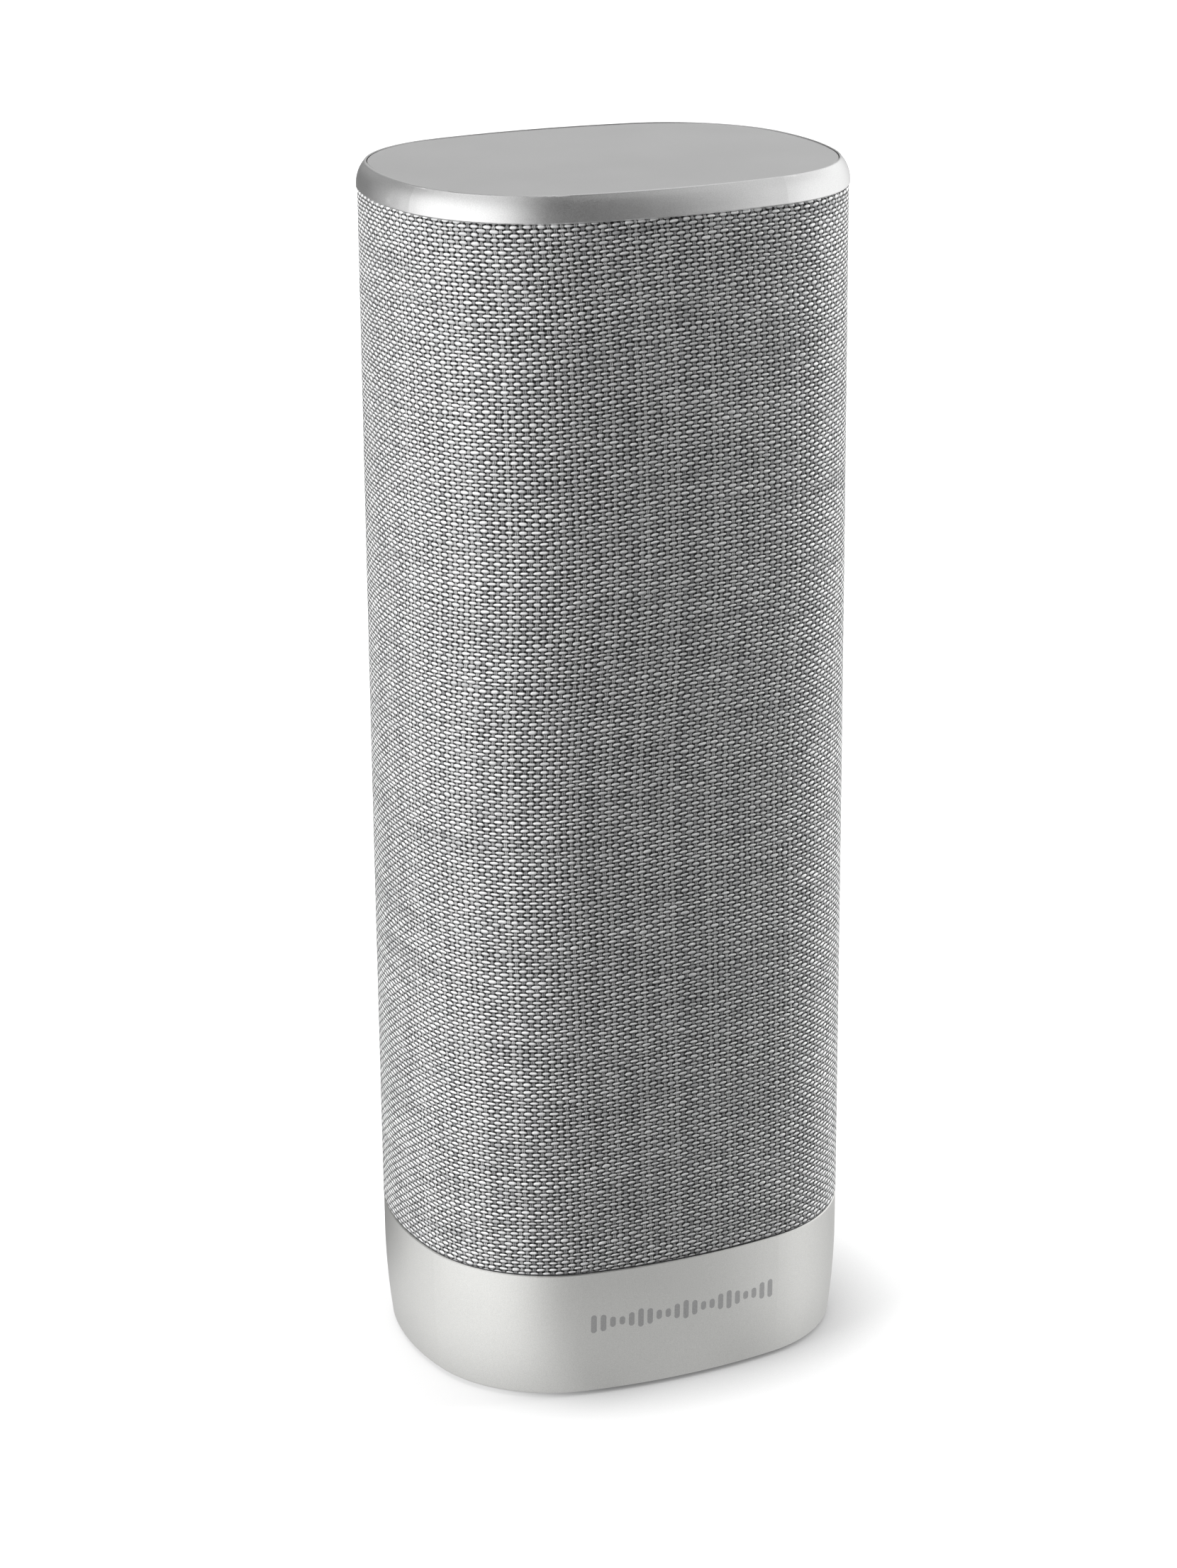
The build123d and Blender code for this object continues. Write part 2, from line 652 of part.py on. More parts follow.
def lead_grommet():
    """Rubber seal where the speaker leads enter the cabinet."""
    wall_top = CABINET_BOTTOM + CABINET_WALL
    grommet = post(3.0, CABINET_BOTTOM, wall_top, 6.0, 12.0) + post(4.4, wall_top, wall_top + 1.5, 6.0, 12.0)
    for x in (4.9, 7.1):
        grommet -= post(0.8, CABINET_BOTTOM - 1, wall_top + 2, x, 12.0)
    return grommet


# ---------------------------------------------------------------- woofer

POLE_RADIUS = 7.5
FORMER_INNER = 7.9
FORMER_OUTER = 8.15
WINDING_OUTER = 8.4
PLATE_HOLE_RADIUS = 8.8
CONE_LIP_INNER = 24.4
CONE_LIP_OUTER = 25.6
ROLL_INNER = 25.4
ROLL_OUTER = 30.0
ROLL_WALL = 0.5
FLANGE_LIP_OUTER = 31.4


def woofer_screw_spots():
    """(x, z) of the woofer's four screws."""
    return ring_spots(WOOFER_SCREW_CIRCLE, 4, 45.0, WOOFER_Z)


def at_depth(points):
    """Turns (radius, depth behind the baffle's face) into (radius, y)."""
    return [(radius, BAFFLE_FRONT + depth) for radius, depth in points]


def woofer_basket():
    """Pressed frame: flange, six-window cone and the seat for the motor."""
    profile = [(30.0, -2.0), (36.0, -2.0), (36.0, 0.0), (30.8, 0.0), (30.8, 3.0), (19.0, 14.0), (19.0, 18.0),
               (10.5, 18.0), (10.5, 16.5), (17.5, 16.5), (17.5, 13.3), (29.3, 2.4), (30.0, 0.0)]
    basket = turned(at_depth(profile), 0, WOOFER_Z)
    for x, z in ring_spots(24.0, 6, 0.0, WOOFER_Z):
        window = bar(4.6, BAFFLE_FRONT + 2.0, BAFFLE_FRONT + 15.5, x, z)
        basket -= window
    for x, z in woofer_screw_spots():
        basket -= bar(1.4, BAFFLE_FRONT - 2, BAFFLE_FRONT, x, z)
    return basket


def woofer_top_plate():
    """Front steel plate of the motor."""
    start, end = BAFFLE_FRONT + 18.0, BAFFLE_FRONT + 22.0
    return washer(18.5, PLATE_HOLE_RADIUS, start, end, 0, WOOFER_Z)


def woofer_magnet():
    """Ring magnet."""
    start, end = BAFFLE_FRONT + 22.0, BAFFLE_FRONT + 32.0
    ring = washer(21.0, 11.0, start, end, 0, WOOFER_Z)
    return chamfer(ring.edges().filter_by(GeomType.CIRCLE), 0.4)


def woofer_yoke():
    """Back plate and pole in one piece."""
    profile = [(0, 17.0), (POLE_RADIUS, 17.0), (POLE_RADIUS, 32.0), (18.5, 32.0), (18.5, 36.0), (0, 36.0)]
    return turned(at_depth(profile), 0, WOOFER_Z)


def voice_coil():
    """Former and winding, free in the motor's gap."""
    profile = [(FORMER_INNER, 7.0), (FORMER_OUTER, 7.0), (FORMER_OUTER, 17.0), (WINDING_OUTER, 17.0),
               (WINDING_OUTER, 23.0), (FORMER_OUTER, 23.0), (FORMER_OUTER, 24.0), (FORMER_INNER, 24.0)]
    return turned(at_depth(profile), 0, WOOFER_Z)


def woofer_cone():
    """Paper cone with a slightly curved wall, from the former out to its flat lip."""
    front = ThreePointArc((FORMER_OUTER, 8.6), (16.5, 2.2), (CONE_LIP_INNER, -2.0))
    back = ThreePointArc((CONE_LIP_INNER, -1.0), (16.7, 2.9), (FORMER_OUTER, 9.6))
    rim = [(CONE_LIP_OUTER, -2.0), (CONE_LIP_OUTER, -1.4), (CONE_LIP_INNER, -1.4)]
    lip = Polyline(front @ 1, *rim, back @ 0)
    face = make_face([front, *lip.edges(), back, Line(back @ 1, front @ 0)])
    return Pos(0, BAFFLE_FRONT, WOOFER_Z) * revolve(face, Axis.Y, 360)


def dust_cap():
    """Domed cap over the middle of the cone."""
    return dome(10.2, 3.4, 0.5, BAFFLE_FRONT + 5.7, 0, WOOFER_Z)


def woofer_surround():
    """Rubber half roll, with a flat lip on the cone's edge and another on the flange."""
    centre = (ROLL_INNER + ROLL_OUTER) / 2
    roll = (ROLL_OUTER - ROLL_INNER) / 2
    front = CenterArc((centre, -2.0), roll, 180, 180)
    back = CenterArc((centre, -2.0), roll - ROLL_WALL, 180, 180)
    face = make_face([front, Line(front @ 1, back @ 1), back, Line(back @ 0, front @ 0)])
    half_roll = Pos(0, BAFFLE_FRONT, WOOFER_Z) * revolve(face, Axis.Y, 360)
    lip_front, lip_back = BAFFLE_FRONT - 2.0 - ROLL_WALL, BAFFLE_FRONT - 2.0
    inner_lip = washer(ROLL_INNER + 0.3, CONE_LIP_INNER, lip_front, lip_back, 0, WOOFER_Z)
    outer_lip = washer(FLANGE_LIP_OUTER, ROLL_OUTER - 0.3, lip_front, lip_back, 0, WOOFER_Z)
    return half_roll + inner_lip + outer_lip


def woofer_spider():
    """Corrugated centring disc between the former and the basket."""
    waves, inner, outer, level, height, wall = 3, FORMER_OUTER, 17.5, 14.6, 0.8, 0.4
    steps = 2 * waves
    pitch = (outer - inner) / steps
    front = [(inner + pitch * i, level + (height if i % 2 else 0.0)) for i in range(steps + 1)]
    back = [(radius, depth + wall) for radius, depth in reversed(front)]
    return turned(at_depth(front + back), 0, WOOFER_Z)


def woofer_gasket():
    """Foam ring over the surround's outer lip."""
    start = BAFFLE_FRONT - 2.0 - ROLL_WALL
    return washer(FLANGE_LIP_OUTER, ROLL_OUTER + 0.1, start - 1.5, start, 0, WOOFER_Z)


def woofer_screws():
    """Four screws through the woofer's flange."""
    head, tip = BAFFLE_FRONT - 2.0, BAFFLE_FRONT + 4.0
    return apart([screw_y(x, z, head, tip, 2.0, 1.1) for x, z in woofer_screw_spots()])


# ---------------------------------------------------------------- tweeter

DOME_RADIUS = 9.6
DOME_WALL = 0.35


def tweeter_screw_spots():
    """(x, z) of the tweeter's three screws."""
    return ring_spots(TWEETER_SCREW_CIRCLE, 3, 90.0, TWEETER_Z)


def tweeter_waveguide():
    """Front plate with a shallow horn round the dome."""
    profile = [(12.2, 4.0), (12.2, 3.2), (16.0, 1.0), (21.0, -2.4), (26.0, -2.4), (26.0, 0.0), (19.8, 0.0),
               (19.8, 6.0), (14.0, 6.0), (14.0, 4.0)]
    guide = turned(at_depth(profile), 0, TWEETER_Z)
    for x, z in tweeter_screw_spots():
        guide -= bar(1.4, BAFFLE_FRONT - 3, BAFFLE_FRONT + 1, x, z)
    return guide


def tweeter_cup():
    """Steel cup of the motor."""
    profile = [(0, 18.0), (10.6, 18.0), (10.6, 6.0), (17.0, 6.0), (17.0, 21.0), (0, 21.0)]
    return turned(at_depth(profile), 0, TWEETER_Z)


def tweeter_magnet():
    """Magnet with its pole plate, inside the dome's coil."""
    profile = [(0, 7.0), (8.6, 7.0), (8.6, 10.0), (8.0, 10.0), (8.0, 18.0), (0, 18.0)]
    return turned(at_depth(profile), 0, TWEETER_Z)


def tweeter_dome():
    """Soft dome with its coil former in one piece."""
    cap = dome(DOME_RADIUS, 4.4, DOME_WALL, BAFFLE_FRONT + 4.2, 0, TWEETER_Z)
    front, back = BAFFLE_FRONT + 4.1, BAFFLE_FRONT + 12.0
    former = washer(DOME_RADIUS + DOME_WALL, DOME_RADIUS, front, back, 0, TWEETER_Z)
    return cap + former


def tweeter_suspension():
    """Flat roll that holds the dome in the front plate."""
    outer = 14.0
    return washer(outer, DOME_RADIUS + DOME_WALL, BAFFLE_FRONT + 4.2, BAFFLE_FRONT + 4.6, 0, TWEETER_Z)


def tweeter_screws():
    """Three screws through the tweeter's plate."""
    spots = tweeter_screw_spots()
    return apart([screw_y(x, z, BAFFLE_FRONT - 2.4, BAFFLE_FRONT + 4.0, 2.1, 1.1) for x, z in spots])


# ---------------------------------------------------------------- leads

LEAD_RADIUS = 0.8


def woofer_lead():
    """Lead from the amplifier through the grommet to the woofer's terminals."""
    points = [(6.0, 17.5, AMP_TOP + 6.0), (6.0, 17.5, 49.0), (4.9, 12.0, 53.0), (4.9, 12.0, 66.0),
              (7.0, 4.0, 74.0), (8.0, -4.0, 80.0)]
    return wire_tube(points, LEAD_RADIUS, [2.4, 2.4, 4.0, 4.0])


def tweeter_lead():
    """Lead from the amplifier through the grommet up to the tweeter."""
    points = [(8.2, 17.5, AMP_TOP + 6.0), (8.2, 17.5, 49.0), (7.1, 12.0, 53.0), (7.1, 12.0, 66.0),
              (30.0, 14.0, 84.0), (31.0, 14.0, 150.0), (22.0, 8.0, 166.0), (8.0, 4.0, TWEETER_Z)]
    return wire_tube(points, LEAD_RADIUS, [2.4, 2.4, 5.0, 8.0, 5.0, 5.0])


def supply_lead():
    """Lead from the supply board up through the tray to the amplifier board."""
    points = [(-8.0, 10.0, SUPPLY_TOP), (-8.0, 10.0, 23.5), (-8.0, 27.0, 24.6), (-8.0, 27.0, 41.0),
              (-16.0, 24.8, 46.5), (-16.0, 17.5, 46.0), (-16.0, 17.5, AMP_TOP + 6.0)]
    return wire_tube(points, LEAD_RADIUS, [2.0, 2.0, 3.0, 2.4, 1.2])


# ---------------------------------------------------------------- grille and top

SLOT_HALF_WIDTH = 1.5
SLOT_HEIGHT = 11.0
SLOT_COLUMN_PITCH = 6.0
SLOT_ROW_PITCH = 15.0
SLOT_COLUMNS = 9
SLOT_ROWS = 13
SLOT_FIRST_Z = 45.0


def frame_slots():
    """Staggered slots through the front of the grille frame."""
    slots = []
    for column in range(SLOT_COLUMNS):
        x = (column - (SLOT_COLUMNS - 1) / 2) * SLOT_COLUMN_PITCH
        stagger = SLOT_ROW_PITCH / 2 if column % 2 else 0.0
        for row in range(SLOT_ROWS):
            z = SLOT_FIRST_Z + stagger + row * SLOT_ROW_PITCH
            plane = Plane(origin=(x, -HALF_DEPTH - 1, z), z_dir=(0, 1, 0), x_dir=(1, 0, 0))
            slots.append(extrude(plane * SlotOverall(SLOT_HEIGHT, 2 * SLOT_HALF_WIDTH, rotation=90), 18.0))
    return slots


def grille_frame():
    """Plastic sleeve that carries the cloth, slotted in front of the drivers."""
    sleeve = tube(FRAME_INSET, FRAME_INSET + FRAME_THICKNESS, CLOTH_BOTTOM, CLOTH_TOP)
    return sleeve.cut(*frame_slots())


def grille_cloth():
    """Woven sleeve stretched over the frame, as a plain wall of the same size."""
    lip = 0.5
    outer, inner = CLOTH_INSET, FRAME_INSET
    profile = make_face(Polyline((outer + lip / 2, CLOTH_BOTTOM), (outer, CLOTH_BOTTOM + lip),
                                 (outer, CLOTH_TOP - lip), (outer + lip / 2, CLOTH_TOP), (inner, CLOTH_TOP),
                                 (inner, CLOTH_BOTTOM), close=True))
    return band(profile)


RING_SWELL_START = 243.6
RING_SHOULDER = (1.55, 247.7)
RING_LIP = (2.1, HEIGHT)
RING_SEAT = 245.0
CARRIER_SCREW_TIP = 233.6


def ring_profile():
    """Section of the top ring: short upright wall, rolled shoulder, thin flat lip, inner seat."""
    shoulder_x, shoulder_z = RING_SHOULDER
    rise = shoulder_z - RING_SWELL_START
    radius = (shoulder_x**2 + rise**2) / (2 * shoulder_x)
    half = rise * 0.5
    middle = (radius - sqrt(radius**2 - half**2), RING_SWELL_START + half)
    lip_start = (shoulder_x + 0.32, HEIGHT)
    corner = (shoulder_x + 0.12, HEIGHT - 0.12)
    return make_face([
        *Polyline((FRAME_INSET + FRAME_THICKNESS, CLOTH_TOP), (0.3, CLOTH_TOP), (0.0, CLOTH_TOP + 0.3),
                  (0.0, RING_SWELL_START)).edges(),
        *ThreePointArc((0.0, RING_SWELL_START), middle, RING_SHOULDER).edges(),
        *ThreePointArc(RING_SHOULDER, corner, lip_start).edges(),
        *Polyline(lip_start, RING_LIP, (RING_LIP[0], RING_SEAT), (6.0, RING_SEAT), (6.0, RING_SEAT - 1.2),
                  (FRAME_INSET + FRAME_THICKNESS, RING_SEAT - 1.2),
                  (FRAME_INSET + FRAME_THICKNESS, CLOTH_TOP)).edges(),
    ])


def top_ring():
    """Aluminium ring round the top panel."""
    return band(ring_profile())


def top_panel():
    """Flat lid plate, level with the ring's lip behind a hairline gap."""
    plate = prism(RING_LIP[0] + 0.16, PANEL_TOP - PANEL_THICKNESS, PANEL_TOP)
    upper = plate.edges().filter_by(GeomType.CIRCLE).group_by(Axis.Z)[-1]
    return chamfer(upper, 0.12)


def panel_pad():
    """Adhesive foam between the ring's seat and the panel."""
    return tube(2.8, 5.8, RING_SEAT, PANEL_TOP - PANEL_THICKNESS)


def top_carrier():
    """Plastic cap that closes the cabinet's top and holds the ring."""
    under_ring = RING_SEAT - 1.2
    cap = prism(FRAME_INSET + FRAME_THICKNESS + FIT, CABINET_TOP + 3.0, under_ring)
    cap -= prism(6.5, CABINET_TOP + 5.0, under_ring)
    for x, y in carrier_screw_spots():
        cap += post(3.4, CABINET_TOP, under_ring, x, y)
        cap -= post(1.25, CABINET_TOP, under_ring, x, y)
    return cap


def carrier_screw_spots():
    """(x, y) of the carrier's bosses."""
    return [(x, y) for x in (-24.0, 24.0) for y in (-12.0, 20.0)]


def carrier_screws():
    """Screws that hold the carrier, driven down from under the panel."""
    seat = RING_SEAT - 1.2
    return apart([post(2.4, seat, seat + 1.5, x, y) + post(1.25, CARRIER_SCREW_TIP, seat, x, y)
                  for x, y in carrier_screw_spots()])


# ---------------------------------------------------------------- export


def all_nodes():
    """Every piece of the speaker, by the name of its node."""
    mark = front_mark()
    return {
        "base_shell": base_shell(mark),
        "front_mark": mark,
        "base_plate": base_plate(),
        "foot_ring": foot_ring(),
        "stand_insert": stand_insert(),
        "base_screws": base_screws(),
        "shadow_gasket": shadow_gasket(),
        "io_panel": io_panel(),
        "power_inlet": power_inlet(),
        "inlet_pins": inlet_pins(),
        "pair_button": pair_button(),
        "pair_switch": pair_switch(),
        "status_lens": status_lens(),
        "status_led": status_led(),
        "io_board": io_board(),
        "supply_board": supply_board(),
        "supply_transformer": supply_transformer(),
        "supply_capacitors": supply_capacitors(),
        "supply_screws": supply_screws(),
        "tray": tray(),
        "amp_board": amp_board(),
        "amp_screws": amp_screws(),
        "heat_sink": heat_sink(),
        "amp_chip": amp_chip(),
        "radio_module": radio_module(),
        "speaker_sockets": speaker_sockets(),
        "cabinet_shell": cabinet_shell(),
        "front_baffle": front_baffle(),
        "cabinet_gasket": cabinet_gasket(),
        "baffle_screws": baffle_screws(),
        "cabinet_wadding": cabinet_wadding(),
        "lead_grommet": lead_grommet(),
        "woofer_basket": woofer_basket(),
        "woofer_top_plate": woofer_top_plate(),
        "woofer_magnet": woofer_magnet(),
        "woofer_yoke": woofer_yoke(),
        "voice_coil": voice_coil(),
        "woofer_cone": woofer_cone(),
        "dust_cap": dust_cap(),
        "woofer_surround": woofer_surround(),
        "woofer_spider": woofer_spider(),
        "woofer_gasket": woofer_gasket(),
        "woofer_screws": woofer_screws(),
        "tweeter_waveguide": tweeter_waveguide(),
        "tweeter_cup": tweeter_cup(),
        "tweeter_magnet": tweeter_magnet(),
        "tweeter_dome": tweeter_dome(),
        "tweeter_suspension": tweeter_suspension(),
        "tweeter_screws": tweeter_screws(),
        "woofer_lead": woofer_lead(),
        "tweeter_lead": tweeter_lead(),
        "supply_lead": supply_lead(),
        "grille_frame": grille_frame(),
        "grille_cloth": grille_cloth(),
        "top_ring": top_ring(),
        "top_panel": top_panel(),
        "panel_pad": panel_pad(),
        "top_carrier": top_carrier(),
        "carrier_screws": carrier_screws(),
    }


def main():
    """Writes each node's STEP file."""
    os.makedirs("parts", exist_ok=True)
    for name, shape in all_nodes().items():
        export_step(shape, f"parts/{name}.step")


main()
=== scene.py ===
"""Looks for the tabletop loudspeaker: woven sleeve, satin aluminium, rear panel and a white studio."""

import json
import math

import bpy
import numpy as np
from mathutils import Matrix, Vector


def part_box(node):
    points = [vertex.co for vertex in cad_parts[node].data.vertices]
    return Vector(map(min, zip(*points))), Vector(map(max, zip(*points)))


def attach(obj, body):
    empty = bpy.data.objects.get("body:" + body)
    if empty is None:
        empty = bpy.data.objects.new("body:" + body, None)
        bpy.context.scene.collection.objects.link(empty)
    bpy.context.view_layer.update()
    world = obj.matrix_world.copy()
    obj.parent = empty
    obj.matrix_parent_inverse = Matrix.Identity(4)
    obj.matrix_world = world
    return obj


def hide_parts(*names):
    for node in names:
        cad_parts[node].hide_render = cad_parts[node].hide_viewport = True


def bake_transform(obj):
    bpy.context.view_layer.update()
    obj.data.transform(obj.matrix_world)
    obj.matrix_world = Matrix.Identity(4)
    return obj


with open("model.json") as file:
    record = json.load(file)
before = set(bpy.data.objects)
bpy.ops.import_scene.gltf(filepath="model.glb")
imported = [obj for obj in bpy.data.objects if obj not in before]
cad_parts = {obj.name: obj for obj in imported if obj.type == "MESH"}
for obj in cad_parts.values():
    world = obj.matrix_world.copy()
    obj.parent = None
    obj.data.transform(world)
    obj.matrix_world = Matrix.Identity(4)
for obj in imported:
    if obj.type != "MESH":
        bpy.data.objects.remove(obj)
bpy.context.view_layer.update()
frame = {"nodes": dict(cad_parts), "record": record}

MM = 0.001

# The oval section: eight tangent arcs, the same radii as the solid parts.
FRONT_RADIUS = 126.0 * MM
SIDE_RADIUS = 63.0 * MM
CORNER_RADIUS = 30.0 * MM
HALF_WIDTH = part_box("top_ring")[1].x
HALF_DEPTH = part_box("top_ring")[1].y

# The woven sleeve. Its lower hem reaches down into the shadow gap, past the solid wall that it replaces.
HEM_REACH = 0.32 * MM
HEM_RADIUS = 0.55 * MM
HEM_STEPS = 5
CLOTH_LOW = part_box("grille_cloth")[0].z - HEM_REACH
CLOTH_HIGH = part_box("grille_cloth")[1].z
CLOTH_INSET = HALF_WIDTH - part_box("grille_cloth")[1].x
CLOTH_PROUD = 0.1 * MM
CLOTH_BARREL = 0.13 * MM
CLOTH_STEPS = 160
WARP_PITCH = 1.295 * MM
ROW_PITCH = 0.80 * MM
RELIEF = 0.27 * MM

# The rows climb across the front: middle and half width in warps, half height in rows, and rows per warp.
CLIMB_WARP = 101
CLIMB_WIDTH = 11.0
CLIMB_ROWS = 0.95
CLIMB_SLOPE = 0.018

# The columns lean the other way on the way up, and step back in the middle: warps over the whole height.
COLUMN_LEAN = -3.6
COLUMN_STEP = 2.4
COLUMN_TOP_LEAN = -1.4

# Half sizes of the weft floats, least and most: along in warps, thick in rows.
FLOAT_HALF_LENGTH = (0.57, 0.73)
FLOAT_HALF_THICKNESS = (0.37, 0.49)

# Each warp is two threads: half the distance between them and their radius, in warps.
WARP_HALF_GAP = 0.115
WARP_RADIUS = 0.11

# Yarn colours, linear.
WEFT_PALE = (0.94, 0.94, 0.94, 1)
WEFT_DARK = (0.38, 0.382, 0.390, 1)
WARP_PALE = (0.76, 0.76, 0.76, 1)
WARP_DARK = (0.38, 0.383, 0.39, 1)
FIBRE_COLOUR = (0.62, 0.62, 0.62, 1)

# The sewn seam down the middle of the back.
SEAM_REACH = 3.0 * MM
SEAM_STEPS = 11
SEAM_WIDTH = 0.55 * MM
SEAM_DEPTH = 0.45 * MM
SEAM_SHOULDER = 1.3 * MM
SEAM_RISE = 0.15 * MM
STITCH_ROWS = 3.0

# ---------------------------------------------------------------- the oval section


def corner_centre():
    """Centre of the corner arc in the +X +Y quarter."""
    front = Vector((0, HALF_DEPTH - FRONT_RADIUS))
    side = Vector((HALF_WIDTH - SIDE_RADIUS, 0))
    from_front = FRONT_RADIUS - CORNER_RADIUS
    from_side = SIDE_RADIUS - CORNER_RADIUS
    between = side - front
    along = (from_front**2 - from_side**2 + between.length_squared) / (2 * between.length)
    off = math.sqrt(from_front**2 - along**2)
    unit = between.normalized()
    normal = Vector((-unit.y, unit.x))
    return max((front + unit * along + normal * off, front + unit * along - normal * off), key=sum)


def section_arcs():
    """(centre x, centre y, radius, start angle, turn) of each arc, counter-clockwise from mid-back."""
    corner = corner_centre()
    front_shift = HALF_DEPTH - FRONT_RADIUS
    side_shift = HALF_WIDTH - SIDE_RADIUS
    front_half = math.atan2(corner.x, corner.y - front_shift)
    side_half = math.atan2(corner.y, corner.x - side_shift)
    corner_turn = math.pi / 2 - front_half - side_half
    quarter = math.pi / 2
    return [
        (0, front_shift, FRONT_RADIUS, quarter, front_half),
        (-corner.x, corner.y, CORNER_RADIUS, quarter + front_half, corner_turn),
        (-side_shift, 0, SIDE_RADIUS, 2 * quarter - side_half, 2 * side_half),
        (-corner.x, -corner.y, CORNER_RADIUS, 2 * quarter + side_half, corner_turn),
        (0, -front_shift, FRONT_RADIUS, 3 * quarter - front_half, 2 * front_half),
        (corner.x, -corner.y, CORNER_RADIUS, 3 * quarter + front_half, corner_turn),
        (side_shift, 0, SIDE_RADIUS, 4 * quarter - side_half, 2 * side_half),
        (corner.x, corner.y, CORNER_RADIUS, 4 * quarter + side_half, corner_turn),
        (0, front_shift, FRONT_RADIUS, 5 * quarter - front_half, front_half),
    ]


ARCS = section_arcs()
ARC_ENDS = np.cumsum([radius * turn for _, _, radius, _, turn in ARCS])
PERIMETER = float(ARC_ENDS[-1])


def outline(distance, inset):
    """Points of the section at distances along it, moved inwards by inset."""
    index = np.minimum(np.searchsorted(ARC_ENDS, distance), len(ARCS) - 1)
    table = np.array(ARCS)[index]
    before = np.concatenate(([0.0], ARC_ENDS[:-1]))[index]
    angle = table[:, 3] + (distance - before) / table[:, 2]
    normal = np.stack([np.cos(angle), np.sin(angle)], -1)
    return table[:, :2] + normal * (table[:, 2] - inset)[:, None]


# ---------------------------------------------------------------- node graphs


class Graph:
    """The node tree of a material or a world, built with short calls. Values are sockets or numbers."""

    def __init__(self, owner):
        owner.use_nodes = True
        self.owner = owner
        self.tree = owner.node_tree

    def node(self, kind, inputs=None, **settings):
        """Adds a node, sets its properties and connects or sets its inputs."""
        made = self.tree.nodes.new(kind)
        for key, value in settings.items():
            setattr(made, key, value)
        for key, value in (inputs or {}).items():
            self.put(value, made.inputs[key])
        return made

    def put(self, value, socket):
        """Connects a socket, or sets a plain value."""
        if isinstance(value, bpy.types.NodeSocket):
            self.tree.links.new(value, socket)
        else:
            socket.default_value = value

    def math(self, operation, *values):
        """One Math node."""
        return self.node("ShaderNodeMath", dict(enumerate(values)), operation=operation).outputs[0]

    def noise(self, vector, scale, detail=2.0, roughness=0.5):
        """Noise between 0 and 1."""
        inputs = {"Vector": vector, "Scale": scale, "Detail": detail, "Roughness": roughness}
        return self.node("ShaderNodeTexNoise", inputs).outputs["Fac"]

    def chance(self, vector):
        """A random number for each whole-number place."""
        made = self.node("ShaderNodeTexWhiteNoise", {"Vector": vector}, noise_dimensions="3D")
        return made.outputs["Value"]

    def point(self, x, y, z=0.0):
        """Combines three values into a vector."""
        return self.node("ShaderNodeCombineXYZ", {"X": x, "Y": y, "Z": z}).outputs[0]

    def ramp(self, value, low, high, out_low=0.0, out_high=1.0):
        """Smooth step from out_low to out_high."""
        inputs = {"Value": value, 1: low, 2: high, 3: out_low, 4: out_high}
        return self.node("ShaderNodeMapRange", inputs, interpolation_type="SMOOTHSTEP").outputs[0]

    def between(self, value, at_zero, at_one):
        """Straight line: at_zero where the value is 0 and at_one where it is 1."""
        return self.math("MULTIPLY_ADD", value, at_one - at_zero, at_zero)

    def mix(self, factor, first, second, blend="MIX"):
        """Mixes two colours."""
        inputs = {0: factor, 6: first, 7: second}
        return self.node("ShaderNodeMix", inputs, data_type="RGBA", blend_type=blend).outputs[2]

    def shade(self, value):
        """A grey of the given brightness."""
        return self.node("ShaderNodeCombineColor", {0: value, 1: value, 2: value}).outputs[0]

    def bump(self, height, distance):
        """Turns a height between 0 and 1 into relief of the given depth in metres."""
        inputs = {"Height": height, "Distance": distance, "Strength": 1.0}
        return self.node("ShaderNodeBump", inputs).outputs[0]

    def place(self):
        """The point on the object, in metres."""
        return self.node("ShaderNodeTexCoord").outputs["Object"]

    def finish(self, **inputs):
        """Sets the main shader's inputs by name, with underscores for spaces, and returns the material."""
        for key, value in inputs.items():
            self.put(value, self.tree.nodes["Principled BSDF"].inputs[key.replace("_", " ")])
        return self.owner


def material_graph(name):
    """The graph of a new material."""
    return Graph(bpy.data.materials.new(name))


def grey(level):
    """A neutral colour."""
    return (level, level, level, 1)


def new_object(name, data):
    """A new object in the scene's own collection."""
    made = bpy.data.objects.new(name, data)
    bpy.context.scene.collection.objects.link(made)
    return made


# ---------------------------------------------------------------- cloth

WARPS = 2 * round(PERIMETER / WARP_PITCH / 2)
ROWS = round((CLOTH_HIGH - CLOTH_LOW) / ROW_PITCH)

# In the weave's functions the third value of a point picks a noise pattern of its own.


def pulled_on(g, across, up):
    """Warp and row counts of a sleeve that is pulled on by hand, and its climb from -1 to 1.

    The rows climb across the front, the columns wander on the way up, and the threads sway.
    """
    from_climb = g.math("SUBTRACT", across, CLIMB_WARP)
    climb = g.math("TANH", g.math("DIVIDE", from_climb, CLIMB_WIDTH))
    share = g.math("DIVIDE", up, ROWS)
    step = g.ramp(share, 0.44, 0.71, 0.0, COLUMN_STEP)
    top_lean = g.ramp(share, 0.84, 1.12, 0.0, COLUMN_TOP_LEAN)
    wander = g.math("MULTIPLY_ADD", share, COLUMN_LEAN, g.math("ADD", step, top_lean))
    across = g.math("SUBTRACT", across, wander)
    lift = g.math("MULTIPLY_ADD", climb, CLIMB_ROWS, g.math("MULTIPLY", from_climb, CLIMB_SLOPE))
    up = g.math("SUBTRACT", up, lift)
    sway = g.noise(g.point(g.math("MULTIPLY", across, 0.5), up), 0.22, 2.0)
    jitter = g.noise(g.point(across, up, 7.0), 0.9, 1.0)
    across = g.math("ADD", across, g.between(jitter, -0.21, 0.21))
    up = g.math("ADD", up, g.between(sway, -0.55, 0.55))
    return across, up, climb


